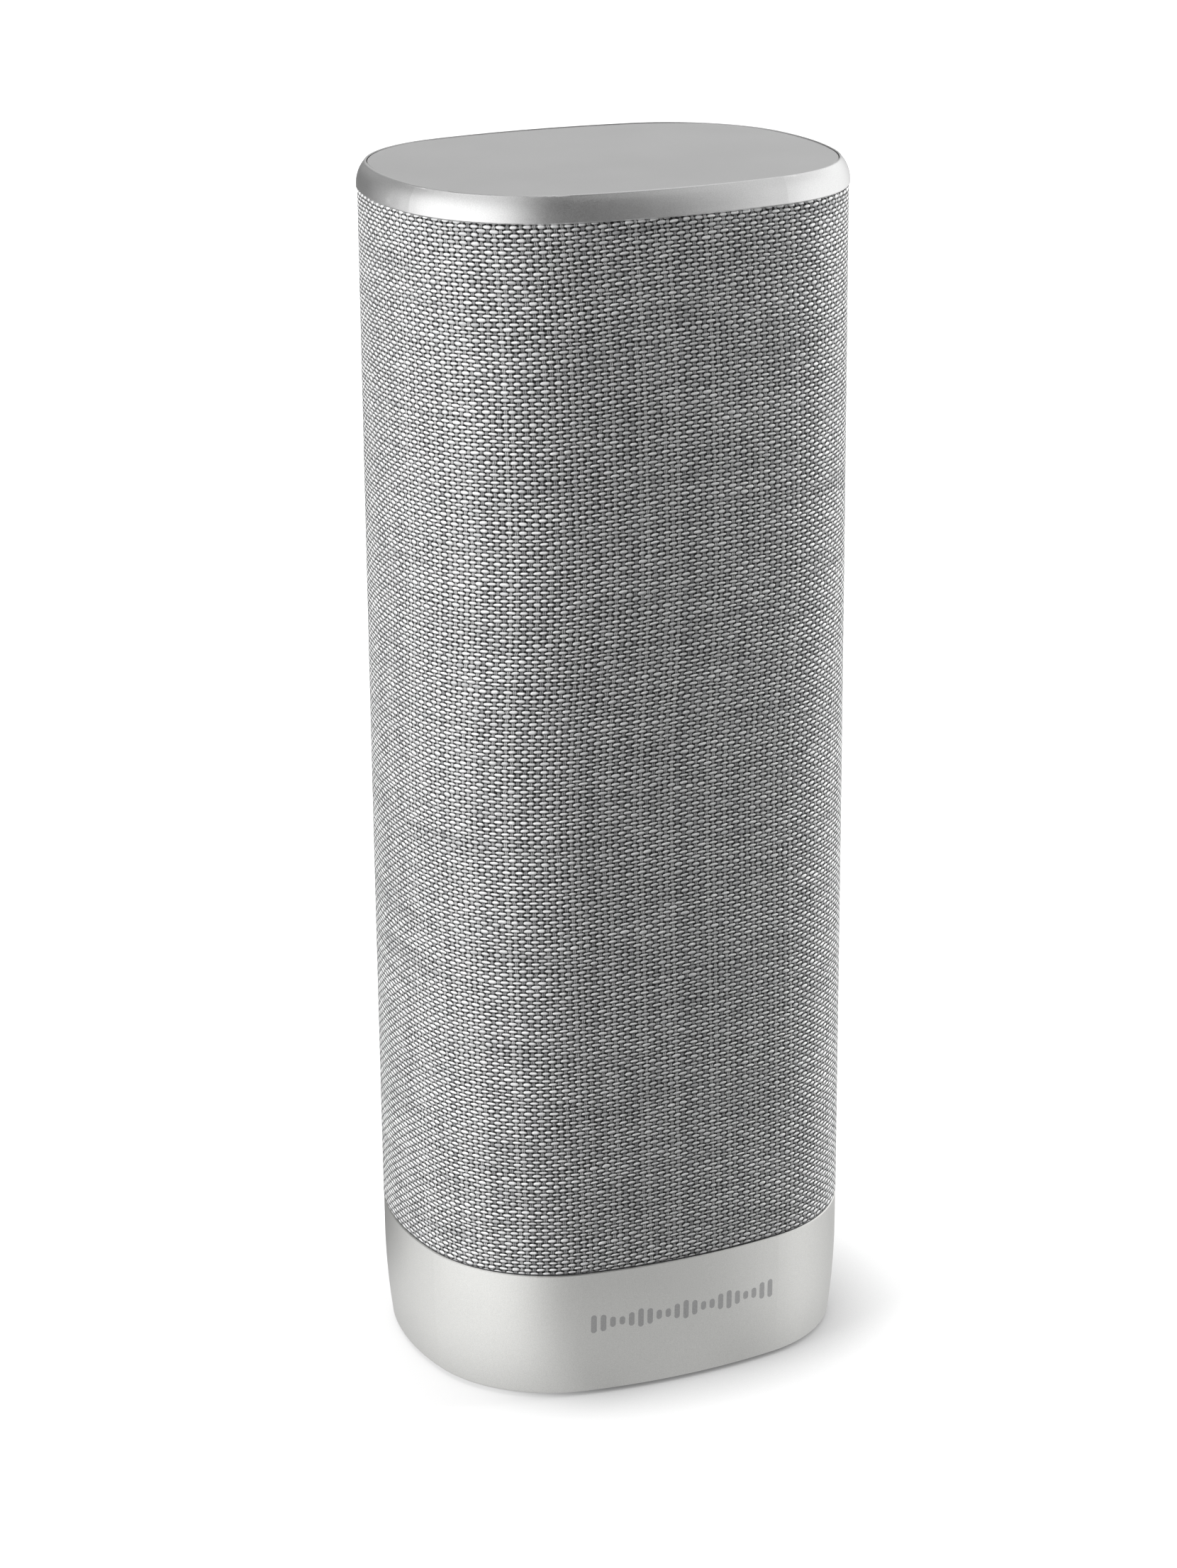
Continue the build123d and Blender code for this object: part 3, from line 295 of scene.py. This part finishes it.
def weft_floats(g, across, up, climb):
    """A plump float over every other warp, shifted by one warp from row to row.

    Returns the row, the distance above the float's middle line, a random number for each float, and the
    float's height, which is 0 beside it.
    """
    row = g.math("FLOOR", up)
    in_row = g.math("SUBTRACT", g.math("FRACT", up), 0.5)
    phase = g.math("ADD", across, row)
    number = g.math("ROUND", g.math("MULTIPLY", phase, 0.5))
    beside = g.math("MULTIPLY_ADD", number, -2.0, phase)
    chance = g.chance(g.point(number, row, 3.0))
    length_chance = g.chance(g.point(number, row, 5.0))
    shift = g.between(g.noise(g.point(number, row, 11.0), 0.7, 1.0), -0.12, 0.12)
    tilt = g.between(climb, 0.018, 0.056)
    offset = g.math("SUBTRACT", in_row, g.math("MULTIPLY_ADD", beside, tilt, shift))
    half_length = g.between(length_chance, *FLOAT_HALF_LENGTH)
    half_thickness = g.between(chance, *FLOAT_HALF_THICKNESS)
    end_ratio = g.math("POWER", g.math("ABSOLUTE", g.math("DIVIDE", beside, half_length)), 2.8)
    side_ratio = g.math("POWER", g.math("ABSOLUTE", g.math("DIVIDE", offset, half_thickness)), 2.2)
    inside = g.math("SUBTRACT", g.math("SUBTRACT", 1.0, end_ratio), side_ratio)
    return row, offset, chance, g.math("SQRT", g.math("MAXIMUM", inside, 0.0))


def warp_pairs(g, across, up, column):
    """Height of a pair of thin threads that shows between the floats."""
    from_middle = g.math("ABSOLUTE", g.math("SUBTRACT", across, column))
    beside = g.math("SUBTRACT", from_middle, WARP_HALF_GAP)
    phase = g.math("ADD", g.math("SUBTRACT", up, 0.5), column)
    rise = g.between(g.math("COSINE", g.math("MULTIPLY", phase, math.pi)), 0.5, 0.0)
    return g.math("MULTIPLY", circle_height(g, beside, WARP_RADIUS), g.between(rise, 0.16, 0.56))


def with_seam(g, height, to_seam, up):
    """The two edges of the sleeve meet in a sewn groove down the middle of the back."""
    groove = g.ramp(to_seam, 0.20, 0.85, 0.15, 1.0)
    wave = g.math("COSINE", g.math("MULTIPLY", up, 2 * math.pi / STITCH_ROWS))
    stitch = g.ramp(wave, -0.1, 0.3, 0.0, 0.62)
    stitched = g.math("MULTIPLY", stitch, g.ramp(to_seam, 0.30, 0.50, 1.0, 0.0))
    return g.math("MAXIMUM", g.math("MULTIPLY", height, groove), stitched)


def loose_fibres(g, across, up):
    """Sparse pale hairs that curl over the weave, 0 where there are none."""
    curl = g.node("ShaderNodeTexNoise", {"Vector": g.point(across, up, 2.0), "Scale": 0.16, "Detail": 2.0})
    cells = {"Vector": curl.outputs["Color"], "Scale": 9.0}
    strands = g.node("ShaderNodeTexVoronoi", cells, feature="DISTANCE_TO_EDGE").outputs["Distance"]
    present = g.ramp(g.noise(g.point(across, up, 21.0), 0.10, 1.0), 0.50, 0.62, 0.0, 0.35)
    return g.math("MULTIPLY", g.ramp(strands, 0.004, 0.016, 1.0, 0.0), present)


def weft_colour(g, across, up, row, chance):
    """Melange along each weft, with some rows and some floats a little darker."""
    streak_place = g.point(g.math("MULTIPLY", across, 0.16), g.math("MULTIPLY", row, 7.3))
    slub_place = g.point(g.math("MULTIPLY", across, 0.022), g.math("MULTIPLY", row, 3.1), 5.0)
    cloud_place = g.point(g.math("MULTIPLY", across, 0.045), g.math("MULTIPLY", up, 0.16), 13.0)
    streak = g.ramp(g.noise(streak_place, 1.0, 3.0, 0.65), 0.30, 0.72, 0.0, 0.36)
    slub = g.ramp(g.noise(slub_place, 1.0, 2.0, 0.6), 0.48, 0.78, 0.0, 0.46)
    cloud = g.ramp(g.noise(cloud_place, 1.0, 3.0, 0.6), 0.35, 0.70, -0.08, 0.16)
    tone = g.math("ADD", g.math("ADD", streak, slub), cloud)
    tone = g.math("ADD", tone, g.between(chance, -0.08, 0.16))
    share = g.math("MINIMUM", g.math("MAXIMUM", tone, 0.0), 1.0)
    return g.mix(share, WEFT_PALE, WEFT_DARK)


def weave_material():
    """Plain weave: plump light floats over thin doubled warps, with gaps darkened by painted shade, a painted
    shadow under each float, melange and loose fibres.
    """
    g = material_graph("woven_cloth")
    split = g.node("ShaderNodeSeparateXYZ", {0: g.node("ShaderNodeUVMap", uv_map="weave").outputs[0]})
    across, up = split.outputs[0], split.outputs[1]
    to_seam = g.math("MINIMUM", across, g.math("SUBTRACT", WARPS, across))
    across, up, climb = pulled_on(g, across, up)
    along = g.noise(g.point(g.math("MULTIPLY", across, 2.2), g.math("MULTIPLY", up, 9.0)), 1.0, 3.0, 0.7)

    row, offset, chance, float_height = weft_floats(g, across, up, climb)
    buried = g.math("MULTIPLY", circle_height(g, offset, 0.30), 0.30)
    column = g.math("ROUND", across)
    warp = warp_pairs(g, across, up, column)
    height = g.math("MAXIMUM", float_height, g.math("MAXIMUM", warp, buried))
    height = g.math("ADD", height, g.between(along, -0.12, 0.12))
    height = with_seam(g, height, to_seam, up)

    # Painted shade: the colour is darkened by the height of the weave, near black in the gaps and in the
    # seam's groove and a little lighter on the floats' tops, and a painted shadow lies under each float.
    warp_chance = g.chance(g.point(column, 0.0, 9.0))
    warp_colour = g.mix(warp_chance, WARP_DARK, WARP_PALE)
    on_top = g.ramp(g.math("SUBTRACT", float_height, warp), -0.04, 0.08)
    yarn = g.mix(on_top, warp_colour, weft_colour(g, across, up, row, chance))
    fibre = g.ramp(along, 0.25, 0.75, 0.80, 1.12)
    # Painted shade from the height: darkest in the gaps, lighter on top.
    depth = g.ramp(height, 0.05, 0.68, 0.02, 1.10)
    # Painted shadow along the lower side of each float.
    painted_float_shadow = g.ramp(offset, -0.45, 0.08, 0.55, 1.0)
    shade = g.math("MULTIPLY", g.math("MULTIPLY", fibre, depth), painted_float_shadow)
    colour = g.mix(1.0, yarn, g.shade(shade), "MULTIPLY")
    return g.finish(
        Base_Color=g.mix(loose_fibres(g, across, up), colour, FIBRE_COLOUR),
        Roughness=g.ramp(along, 0.2, 0.8, 0.78, 0.96),
        Sheen_Weight=0.12,
        Sheen_Roughness=0.45,
        Specular_IOR_Level=0.25,
        Normal=g.bump(height, RELIEF),
    )


def circle_height(g, offset, radius):
    """Height of a round thread at a distance from its middle, 0 at its edge and 1 on top."""
    ratio = g.math("DIVIDE", offset, radius)
    inside = g.math("MAXIMUM", g.math("MULTIPLY_ADD", g.math("MULTIPLY", ratio, ratio), -1.0, 1.0), 0.0)
    return g.math("SQRT", inside)


def cloth_profile():
    """(height, inset) up the sleeve: turned in at both hems and very slightly barrelled between them."""
    hem = [(HEM_RADIUS * (1 - math.cos(a)), HEM_RADIUS * (1 - math.sin(a)))
           for a in np.linspace(0, math.pi / 2, HEM_STEPS)]
    low = [(CLOTH_LOW + rise, inset) for rise, inset in hem]
    high = [(CLOTH_HIGH - rise, inset) for rise, inset in reversed(hem)]
    straight = np.linspace(low[-1][0], high[0][0], CLOTH_STEPS)[1:-1]
    rows = np.array(low + [(z, 0.0) for z in straight] + high)
    middle = (CLOTH_LOW + CLOTH_HIGH) / 2
    lean = (rows[:, 0] - middle) / (CLOTH_HIGH - middle)
    rows[:, 1] += CLOTH_INSET - CLOTH_PROUD + CLOTH_BARREL * lean**2
    return rows


def grid_mesh(name, points, uvs):
    """A mesh from a (rows, columns, 3) grid of points, with named UV layers of the same grid."""
    rows, columns = points.shape[:2]
    mesh = bpy.data.meshes.new(name)
    index = np.arange(rows * columns).reshape(rows, columns)
    faces = np.stack([index[:-1, :-1], index[:-1, 1:], index[1:, 1:], index[1:, :-1]], -1).reshape(-1, 4)
    mesh.from_pydata(points.reshape(-1, 3).tolist(), [], faces.tolist())
    for layer, coordinates in uvs.items():
        data = mesh.uv_layers.new(name=layer).data
        flat = coordinates.reshape(-1, 2)[faces.reshape(-1)]
        data.foreach_set("uv", flat.astype(np.float32).reshape(-1))
    mesh.polygons.foreach_set("use_smooth", np.ones(len(faces), bool))
    return new_object(name, mesh)


def woven_sleeve():
    """The stretched sleeve, with its weave laid out by thread and row counts."""
    profile = cloth_profile()
    beside_seam = np.linspace(0.0, SEAM_REACH, SEAM_STEPS)
    open_cloth = np.linspace(SEAM_REACH, PERIMETER - SEAM_REACH, 2 * WARPS)
    distance = np.concatenate((beside_seam[:-1], open_cloth, PERIMETER - beside_seam[-2::-1]))
    from_seam = np.minimum(distance, PERIMETER - distance)
    groove = SEAM_DEPTH * np.exp(-((from_seam / SEAM_WIDTH) ** 2))
    shoulder = SEAM_RISE * np.exp(-(((from_seam - SEAM_SHOULDER) / SEAM_WIDTH) ** 2))
    points = np.zeros((len(profile), len(distance), 3))
    for i, (z, inset) in enumerate(profile):
        points[i, :, :2] = outline(distance, inset + groove - shoulder)
        points[i, :, 2] = z
    # Distance along the outline runs counter-clockwise from the back, seen from above.
    height = CLOTH_HIGH - CLOTH_LOW
    across = np.broadcast_to(distance / PERIMETER, points.shape[:2])
    up = np.broadcast_to(((profile[:, 0] - CLOTH_LOW) / height)[:, None], points.shape[:2])
    weave = np.stack([across * WARPS, up * ROWS], -1)
    bake = np.stack([0.002 + across * 0.996, 0.002 + up * 0.996], -1)
    piece = grid_mesh("woven_sleeve", points, {"OFBake": bake, "weave": weave})
    piece.data.materials.append(weave_material())
    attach(piece, "body")
    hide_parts("grille_cloth")


# ---------------------------------------------------------------- hard materials


def satin_aluminium(name, level, roughness, grain=5200.0, depth=0.008 * MM, blue=0.999):
    """Bead-blasted anodised aluminium: fine grain in tone, gloss and relief. Blue is relative to grey."""
    g = material_graph(name)
    place = g.place()
    fine = g.noise(place, grain, 3.0, 0.6)
    cloud = g.noise(place, 45.0, 3.0, 0.5)
    tone = g.math("ADD", g.ramp(fine, 0.25, 0.75, -0.055, 0.055), g.ramp(cloud, 0.3, 0.7, -0.012, 0.012))
    value = g.math("ADD", tone, level)
    channels = {0: value, 1: value, 2: g.math("MULTIPLY", value, blue)}
    gloss = g.math("ADD", g.ramp(fine, 0.2, 0.8, -0.05, 0.05), g.ramp(cloud, 0.3, 0.7, -0.02, 0.02))
    return g.finish(
        Base_Color=g.node("ShaderNodeCombineColor", channels).outputs[0],
        Metallic=1.0,
        Roughness=g.math("ADD", gloss, roughness),
        Normal=g.bump(fine, depth),
    )


def moulded(name, colour, roughness, metallic=0.0, grain=2500.0, depth=0.02 * MM, spread=0.25, **extra):
    """A moulded, cast or plated surface: grain, faint clouding and uneven gloss."""
    g = material_graph(name)
    place = g.place()
    fine = g.noise(place, grain, 3.0, 0.6)
    cloud = g.noise(place, 60.0, 3.0, 0.55)
    darker = tuple(c * (1 - spread) for c in colour) + (1,)
    lighter = tuple(min(1.0, c * (1 + spread)) for c in colour) + (1,)
    factor = g.math("MULTIPLY_ADD", fine, 0.6, g.math("MULTIPLY", cloud, 0.4))
    glossiest, dullest = max(0.05, roughness - 0.07), min(1.0, roughness + 0.07)
    return g.finish(
        Base_Color=g.mix(g.ramp(factor, 0.3, 0.7), darker, lighter),
        Metallic=metallic,
        Roughness=g.ramp(g.math("ADD", fine, cloud), 0.6, 1.4, glossiest, dullest),
        Normal=g.bump(fine, depth),
        **extra,
    )


def threaded(name, colour, pitch, metallic, roughness, axis):
    """A surface of fine parallel turns or ribs along one axis, such as a wound coil, with painted shade in
    the grooves between them and random grain.
    """
    g = material_graph(name)
    split = g.node("ShaderNodeSeparateXYZ", {0: g.place()})
    wave = g.math("SINE", g.math("MULTIPLY", split.outputs[axis], 2 * math.pi / pitch))
    fine = g.noise(g.place(), 900.0, 2.0)
    height = g.math("MULTIPLY_ADD", wave, 0.4, fine)
    # Painted shade: the colour is darker where the relief is low, between the turns, mixed with random grain.
    darker = tuple(c * 0.6 for c in colour) + (1,)
    return g.finish(
        Base_Color=g.mix(g.ramp(height, -0.1, 1.1), darker, (*colour, 1)),
        Metallic=metallic,
        Roughness=g.ramp(fine, 0.3, 0.7, roughness - 0.06, roughness + 0.06),
        Normal=g.bump(height, pitch * 0.25),
    )


def circuit_board():
    """Solder mask over tracks that show as a faint raised maze."""
    g = material_graph("circuit_board")
    place = g.place()
    cells = {"Vector": place, "Scale": 420.0}
    maze = g.node("ShaderNodeTexVoronoi", cells, distance="CHEBYCHEV", feature="F1").outputs["Distance"]
    track = g.ramp(maze, 0.30, 0.36)
    fine = g.noise(place, 1500.0, 2.0)
    return g.finish(
        Base_Color=g.mix(track, (0.012, 0.085, 0.040, 1), (0.020, 0.150, 0.075, 1)),
        Roughness=g.ramp(fine, 0.3, 0.7, 0.30, 0.42),
        Normal=g.bump(track, 0.03 * MM),
    )


def hard_materials():
    """One finished material for each slot of the record."""
    return {
        "anodised_aluminium": satin_aluminium("base_aluminium", 0.60, 0.40, blue=0.975),
        "dark_rubber": moulded("dark_rubber", (0.030, 0.030, 0.032), 0.72, grain=3200.0, depth=0.03 * MM),
        "black_plastic": moulded("black_plastic", (0.020, 0.020, 0.022), 0.48, grain=4200.0, depth=0.03 * MM),
        "dark_plastic": moulded("dark_plastic", (0.055, 0.055, 0.060), 0.55, grain=2600.0, depth=0.03 * MM),
        "mark_ink": satin_aluminium("mark_inlay", 0.40, 0.55),
        "button_plastic": moulded("button_plastic", (0.30, 0.30, 0.31), 0.34, grain=5200.0, depth=0.01 * MM),
        "clear_lens": moulded("frosted_lens", (0.82, 0.85, 0.88), 0.22, spread=0.05, Transmission_Weight=0.6),
        "brass": moulded("brass", (0.62, 0.42, 0.15), 0.30, metallic=1.0, spread=0.12),
        "steel": moulded("zinc_steel", (0.50, 0.51, 0.53), 0.34, metallic=1.0, spread=0.12),
        "black_steel": moulded("black_steel", (0.030, 0.030, 0.033), 0.40, grain=1800.0, depth=0.03 * MM),
        "pin_metal": moulded("nickel_pins", (0.72, 0.71, 0.69), 0.20, metallic=1.0, spread=0.08),
        "circuit_board": circuit_board(),
        "component_black": moulded("component_black", (0.016, 0.016, 0.017), 0.50),
        "winding_tape": threaded("winding_tape", (0.62, 0.45, 0.10), 1.6 * MM, 0.0, 0.40, 2),
        "can_sleeve": moulded("can_sleeve", (0.020, 0.030, 0.085), 0.28, spread=0.15),
        "shield_metal": moulded("shield_metal", (0.58, 0.58, 0.57), 0.38, metallic=1.0, spread=0.10),
        "ferrite": moulded("ferrite", (0.050, 0.050, 0.055), 0.62, grain=1400.0, depth=0.05 * MM),
        "paper_cone": moulded(
            "paper_cone", (0.045, 0.045, 0.048), 0.85, grain=900.0, depth=0.08 * MM, spread=0.4
        ),
        "copper_coil": threaded("copper_coil", (0.55, 0.22, 0.08), 0.30 * MM, 1.0, 0.32, 1),
        "spider_cloth": threaded("spider_cloth", (0.50, 0.33, 0.11), 0.60 * MM, 0.0, 0.80, 0),
        "dome_silk": threaded("dome_silk", (0.040, 0.040, 0.045), 0.35 * MM, 0.0, 0.55, 0),
        "damping_felt": moulded(
            "damping_felt", (0.66, 0.64, 0.60), 0.95, grain=700.0, depth=0.4 * MM, spread=0.3
        ),
        "foam": moulded("foam", (0.035, 0.035, 0.035), 0.92, grain=1600.0, depth=0.15 * MM, spread=0.4),
        "lead_sleeve": moulded("lead_sleeve", (0.18, 0.012, 0.012), 0.45),
    }


SLOTS = {row["node"]: row["material_slot"] for row in frame["record"]["subparts"]}


def dress_nodes():
    """Gives every solid part its finished material. The plain cloth wall is replaced by the sleeve."""
    materials = hard_materials()
    materials["grille_fabric"] = materials["black_plastic"]
    finishes = {
        "top_panel": satin_aluminium("panel_aluminium", 0.56, 0.46, grain=6500.0, depth=0.010 * MM),
        "top_ring": satin_aluminium("ring_aluminium", 0.60, 0.40),
    }
    for name, node in frame["nodes"].items():
        node.data.materials.clear()
        node.data.materials.append(finishes.get(name) or materials[SLOTS[name]])


# ---------------------------------------------------------------- flexing rings

# Node, the body its inner edge moves with, the node its inner edge is glued to, width of its fixed lip.
FLEXING = (
    ("woofer_surround", "woofer_cone", "woofer_cone", 1.7 * MM),
    ("woofer_spider", "woofer_cone", "voice_coil", 0.0),
    ("tweeter_suspension", "tweeter_dome", "tweeter_dome", 0.0),
)


def flexing_ring(name, moving, glued_to, lip):
    """A driver's flexible ring, whose inner edge moves with the diaphragm while the outer edge stays: a copy
    of the part's mesh, unbent, takes the part's place.
    """
    ring = new_object(f"{name}_flexing", frame["nodes"][name].data.copy())
    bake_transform(ring)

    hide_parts(name)


# ---------------------------------------------------------------- studio

# Camera, from the middle of the body: turned to the left of the front, and looking down.
CAMERA_AZIMUTH = math.radians(-23.73)
CAMERA_HEIGHT_ANGLE = math.radians(18.70)
CAMERA_ROLL = math.radians(-0.463)
CAMERA_DISTANCE = 813.2 * MM
CAMERA_SIDESTEP = -3.8 * MM
CAMERA_AIM_HEIGHT = 118.85 * MM
CAMERA_LENS = 90.82
SENSOR = 36.0


def camera():
    """The camera at the viewing angle of the product picture."""
    azimuth, lift = CAMERA_AZIMUTH, CAMERA_HEIGHT_ANGLE
    back = Vector((math.sin(azimuth) * math.cos(lift), -math.cos(azimuth) * math.cos(lift), math.sin(lift)))
    level = Vector((math.cos(azimuth), math.sin(azimuth), 0))
    upright = back.cross(level)
    right = level * math.cos(CAMERA_ROLL) + upright * math.sin(CAMERA_ROLL)
    aim = level * CAMERA_SIDESTEP + Vector((0, 0, CAMERA_AIM_HEIGHT))
    data = bpy.data.cameras.new("camera")
    data.lens, data.sensor_width, data.sensor_fit = CAMERA_LENS, SENSOR, "AUTO"
    data.clip_start, data.clip_end = 0.01, 100.0
    seen_by = new_object("camera", data)
    turn = Matrix((right, back.cross(right), back)).transposed().to_4x4()
    seen_by.matrix_world = Matrix.Translation(aim + back * CAMERA_DISTANCE) @ turn
    bpy.context.scene.camera = seen_by


# Bearings are in degrees from straight ahead of the speaker, positive towards the left of the picture.
# An edge is where a glow starts and where it is full, as the cosine of the angle from its middle.

# The surroundings as polished metal sees them: dim, with a bright lobe on each side (bearing, strength).
GLOW_FLOOR = 0.20
GLOW_LOBES = ((86.0, 1.75), (-84.0, 1.42))
LOBE_EDGE = (0.43, 0.92)

# The sky behind the speaker, which the top panel mirrors.
SKY_BEARING = 203.7
SKY_GLOW = 0.67
SKY_EDGE = (0.60, 0.96)

# The table as the base mirrors it. Near the speaker the lobes fade, and a smoother glow takes their place,
# which is strongest towards NEAR_BEARING.
NEAR_FADE = 0.57
NEAR_BEARING = 20.0
NEAR_EDGE = (-0.65, 0.55)
NEAR_GLOW = (0.08, 0.57)
NEAR_REACH = (45.0 * MM, 400.0 * MM)
NEAR_STRENGTH = 1.15

# The table as the camera sees it, and its contact shadow.
TABLE_HALF = 12.0
PAPER = (0.44, 0.45)
TABLE_WHITE = 0.55
WHITE_REACH = (150.0 * MM, 900.0 * MM)
SHADOW_REACH = 20.0 * MM
SHADOW_DEPTH = (0.12, 0.75)
SHADOW_BEARING = -40.0
SHADOW_EDGE = (-0.15, 0.50)
MIRRORED_DEPTH = (0.10, 0.65)
MIRRORED_EDGE = (0.2, 0.9)

# The light on matt surfaces: a low ambient and three softboxes.
AMBIENT = 0.135
# Name, bearing, height angle, distance in metres, size in metres, power in watts.
SOFTBOXES = (
    ("left_light", 80.0, 14.0, 1.4, 0.7, 26.0),
    ("right_light", -84.0, 14.0, 1.4, 0.7, 33.5),
    ("top_light", 150.0, 78.0, 1.6, 1.2, 20.0),
)
SOFTBOX_AIM = 120.0 * MM


def bearing_direction(bearing, lift=0.0):
    """Unit vector from the speaker towards a bearing and a height angle, both in degrees."""
    turn, up = math.radians(bearing), math.radians(lift)
    return Vector((-math.sin(turn) * math.cos(up), -math.cos(turn) * math.cos(up), math.sin(up)))


def facing(g, direction, bearing):
    """How far a direction, taken level, turns towards a bearing: 1 straight at it, -1 straight away."""
    level = g.node("ShaderNodeVectorMath", {0: direction, 1: (1, 1, 0)}, operation="MULTIPLY").outputs[0]
    level = g.node("ShaderNodeVectorMath", {0: level}, operation="NORMALIZE").outputs[0]
    towards = {0: level, 1: bearing_direction(bearing)}
    return g.node("ShaderNodeVectorMath", towards, operation="DOT_PRODUCT").outputs["Value"]


def glow(g, direction):
    """Brightness of the studio as polished metal sees it: bright on both sides, dim in front and behind."""
    unit = g.node("ShaderNodeVectorMath", {0: direction}, operation="NORMALIZE").outputs[0]
    height = g.node("ShaderNodeSeparateXYZ", {0: unit}).outputs[2]
    total = GLOW_FLOOR
    for bearing, strength in GLOW_LOBES:
        lobe = g.ramp(facing(g, direction, bearing), *LOBE_EDGE, 0.0, strength)
        total = g.math("ADD", lobe, total)
    return g.math("MULTIPLY", total, g.ramp(height, 0.25, 0.90, 1.0, 0.60))


def for_bounces(g, bright, path):
    """Strength for light that isn't seen directly: the glow for reflections, a low ambient for the rest."""
    return g.math("MULTIPLY_ADD", path.outputs["Is Glossy Ray"], g.math("SUBTRACT", bright, AMBIENT), AMBIENT)


def world_light():
    """White to the camera, the studio glow in reflections and a low ambient on matt surfaces."""
    world = bpy.data.worlds.new("studio")
    bpy.context.scene.world = world
    g = Graph(world)
    path = g.node("ShaderNodeLightPath")
    direction = g.node("ShaderNodeTexCoord").outputs["Generated"]
    height = g.node("ShaderNodeSeparateXYZ", {0: direction}).outputs[2]
    back_lobe = g.ramp(facing(g, direction, SKY_BEARING), *SKY_EDGE)
    behind = g.math("MULTIPLY", g.ramp(height, 0.02, 0.28), back_lobe)
    bright = g.math("MULTIPLY_ADD", behind, SKY_GLOW, glow(g, direction))
    strength = g.math("MAXIMUM", for_bounces(g, bright, path), path.outputs["Is Camera Ray"])
    soft = g.node("ShaderNodeBackground", {"Color": grey(1.0), "Strength": strength})
    g.put(soft.outputs[0], g.tree.nodes["World Output"].inputs["Surface"])


def floor_material():
    """White paper with a soft contact shadow. Its reflections carry the studio's glow."""
    g = material_graph("studio_floor")
    place = g.place()
    distance = g.node("ShaderNodeVectorMath", {0: place}, operation="LENGTH").outputs["Value"]

    # Contact shadow, on the side away from the key light.
    shaded_side = g.ramp(facing(g, place, SHADOW_BEARING), *SHADOW_EDGE, *SHADOW_DEPTH)
    open_sky = g.node("ShaderNodeAmbientOcclusion", {"Distance": SHADOW_REACH}, samples=8).outputs["AO"]
    closed = g.math("SUBTRACT", 1.0, open_sky)
    lit = g.math("SUBTRACT", 1.0, g.math("MULTIPLY", shaded_side, closed))
    sideways = g.math("ABSOLUTE", facing(g, place, GLOW_LOBES[0][0]))
    mirrored = g.ramp(sideways, *MIRRORED_EDGE, *MIRRORED_DEPTH)
    seen_lit = g.math("SUBTRACT", 1.0, g.math("MULTIPLY", mirrored, closed))

    # What reflections see.
    near = g.ramp(distance, *NEAR_REACH, NEAR_STRENGTH, 0.0)
    around = glow(g, place)
    level = g.ramp(facing(g, place, NEAR_BEARING), *NEAR_EDGE, *NEAR_GLOW)
    evened = g.math("MULTIPLY", near, g.math("MULTIPLY_ADD", around, -NEAR_FADE, level))
    path = g.node("ShaderNodeLightPath")
    strength = for_bounces(g, g.math("MULTIPLY", g.math("ADD", around, evened), seen_lit), path)
    sweep = g.node("ShaderNodeEmission", {"Color": grey(1.0), "Strength": strength})

    # What the camera sees.
    white = g.ramp(distance, *WHITE_REACH, TABLE_WHITE, 1.0)
    paper = g.mix(g.noise(place, 30.0), grey(PAPER[0]), grey(PAPER[1]))
    material = g.finish(
        Base_Color=g.mix(1.0, paper, g.shade(lit), "MULTIPLY"),
        Roughness=0.8,
        Specular_IOR_Level=0.0,
        Emission_Color=grey(1.0),
        Emission_Strength=g.math("MULTIPLY", white, lit),
    )
    seen = g.tree.nodes["Principled BSDF"].outputs[0]
    choice = {0: path.outputs["Is Camera Ray"], 1: sweep.outputs[0], 2: seen}
    mixed = g.node("ShaderNodeMixShader", choice)
    g.put(mixed.outputs[0], g.tree.nodes["Material Output"].inputs["Surface"])
    return material


def floor():
    """The endless white table."""
    corners = [(x * TABLE_HALF, y * TABLE_HALF, 0) for x, y in ((-1, -1), (1, -1), (1, 1), (-1, 1))]
    mesh = bpy.data.meshes.new("floor")
    mesh.from_pydata(corners, [], [(0, 1, 2, 3)])
    mesh.materials.append(floor_material())
    new_object("floor", mesh)


def softbox(name, bearing, lift, distance, size, power):
    """A square area light that faces the middle of the speaker and lights its matt surfaces."""
    away = bearing_direction(bearing, lift)
    data = bpy.data.lights.new(name, "AREA")
    data.shape, data.size, data.energy = "SQUARE", size, power
    box = new_object(name, data)
    box.location = Vector((0, 0, SOFTBOX_AIM)) + away * distance
    box.rotation_euler = away.to_track_quat("Z", "Y").to_euler()
    box.visible_camera = False
    box.visible_glossy = False


def studio():
    """Camera, white surroundings, a softbox on each side and one above."""
    camera()
    world_light()
    floor()
    for light in SOFTBOXES:
        softbox(*light)
    bpy.context.scene.view_settings.view_transform = "Standard"
    bpy.context.scene.view_settings.look = "None"


# ---------------------------------------------------------------- make it


dress_nodes()
woven_sleeve()
for ring in FLEXING:
    flexing_ring(*ring)
studio()
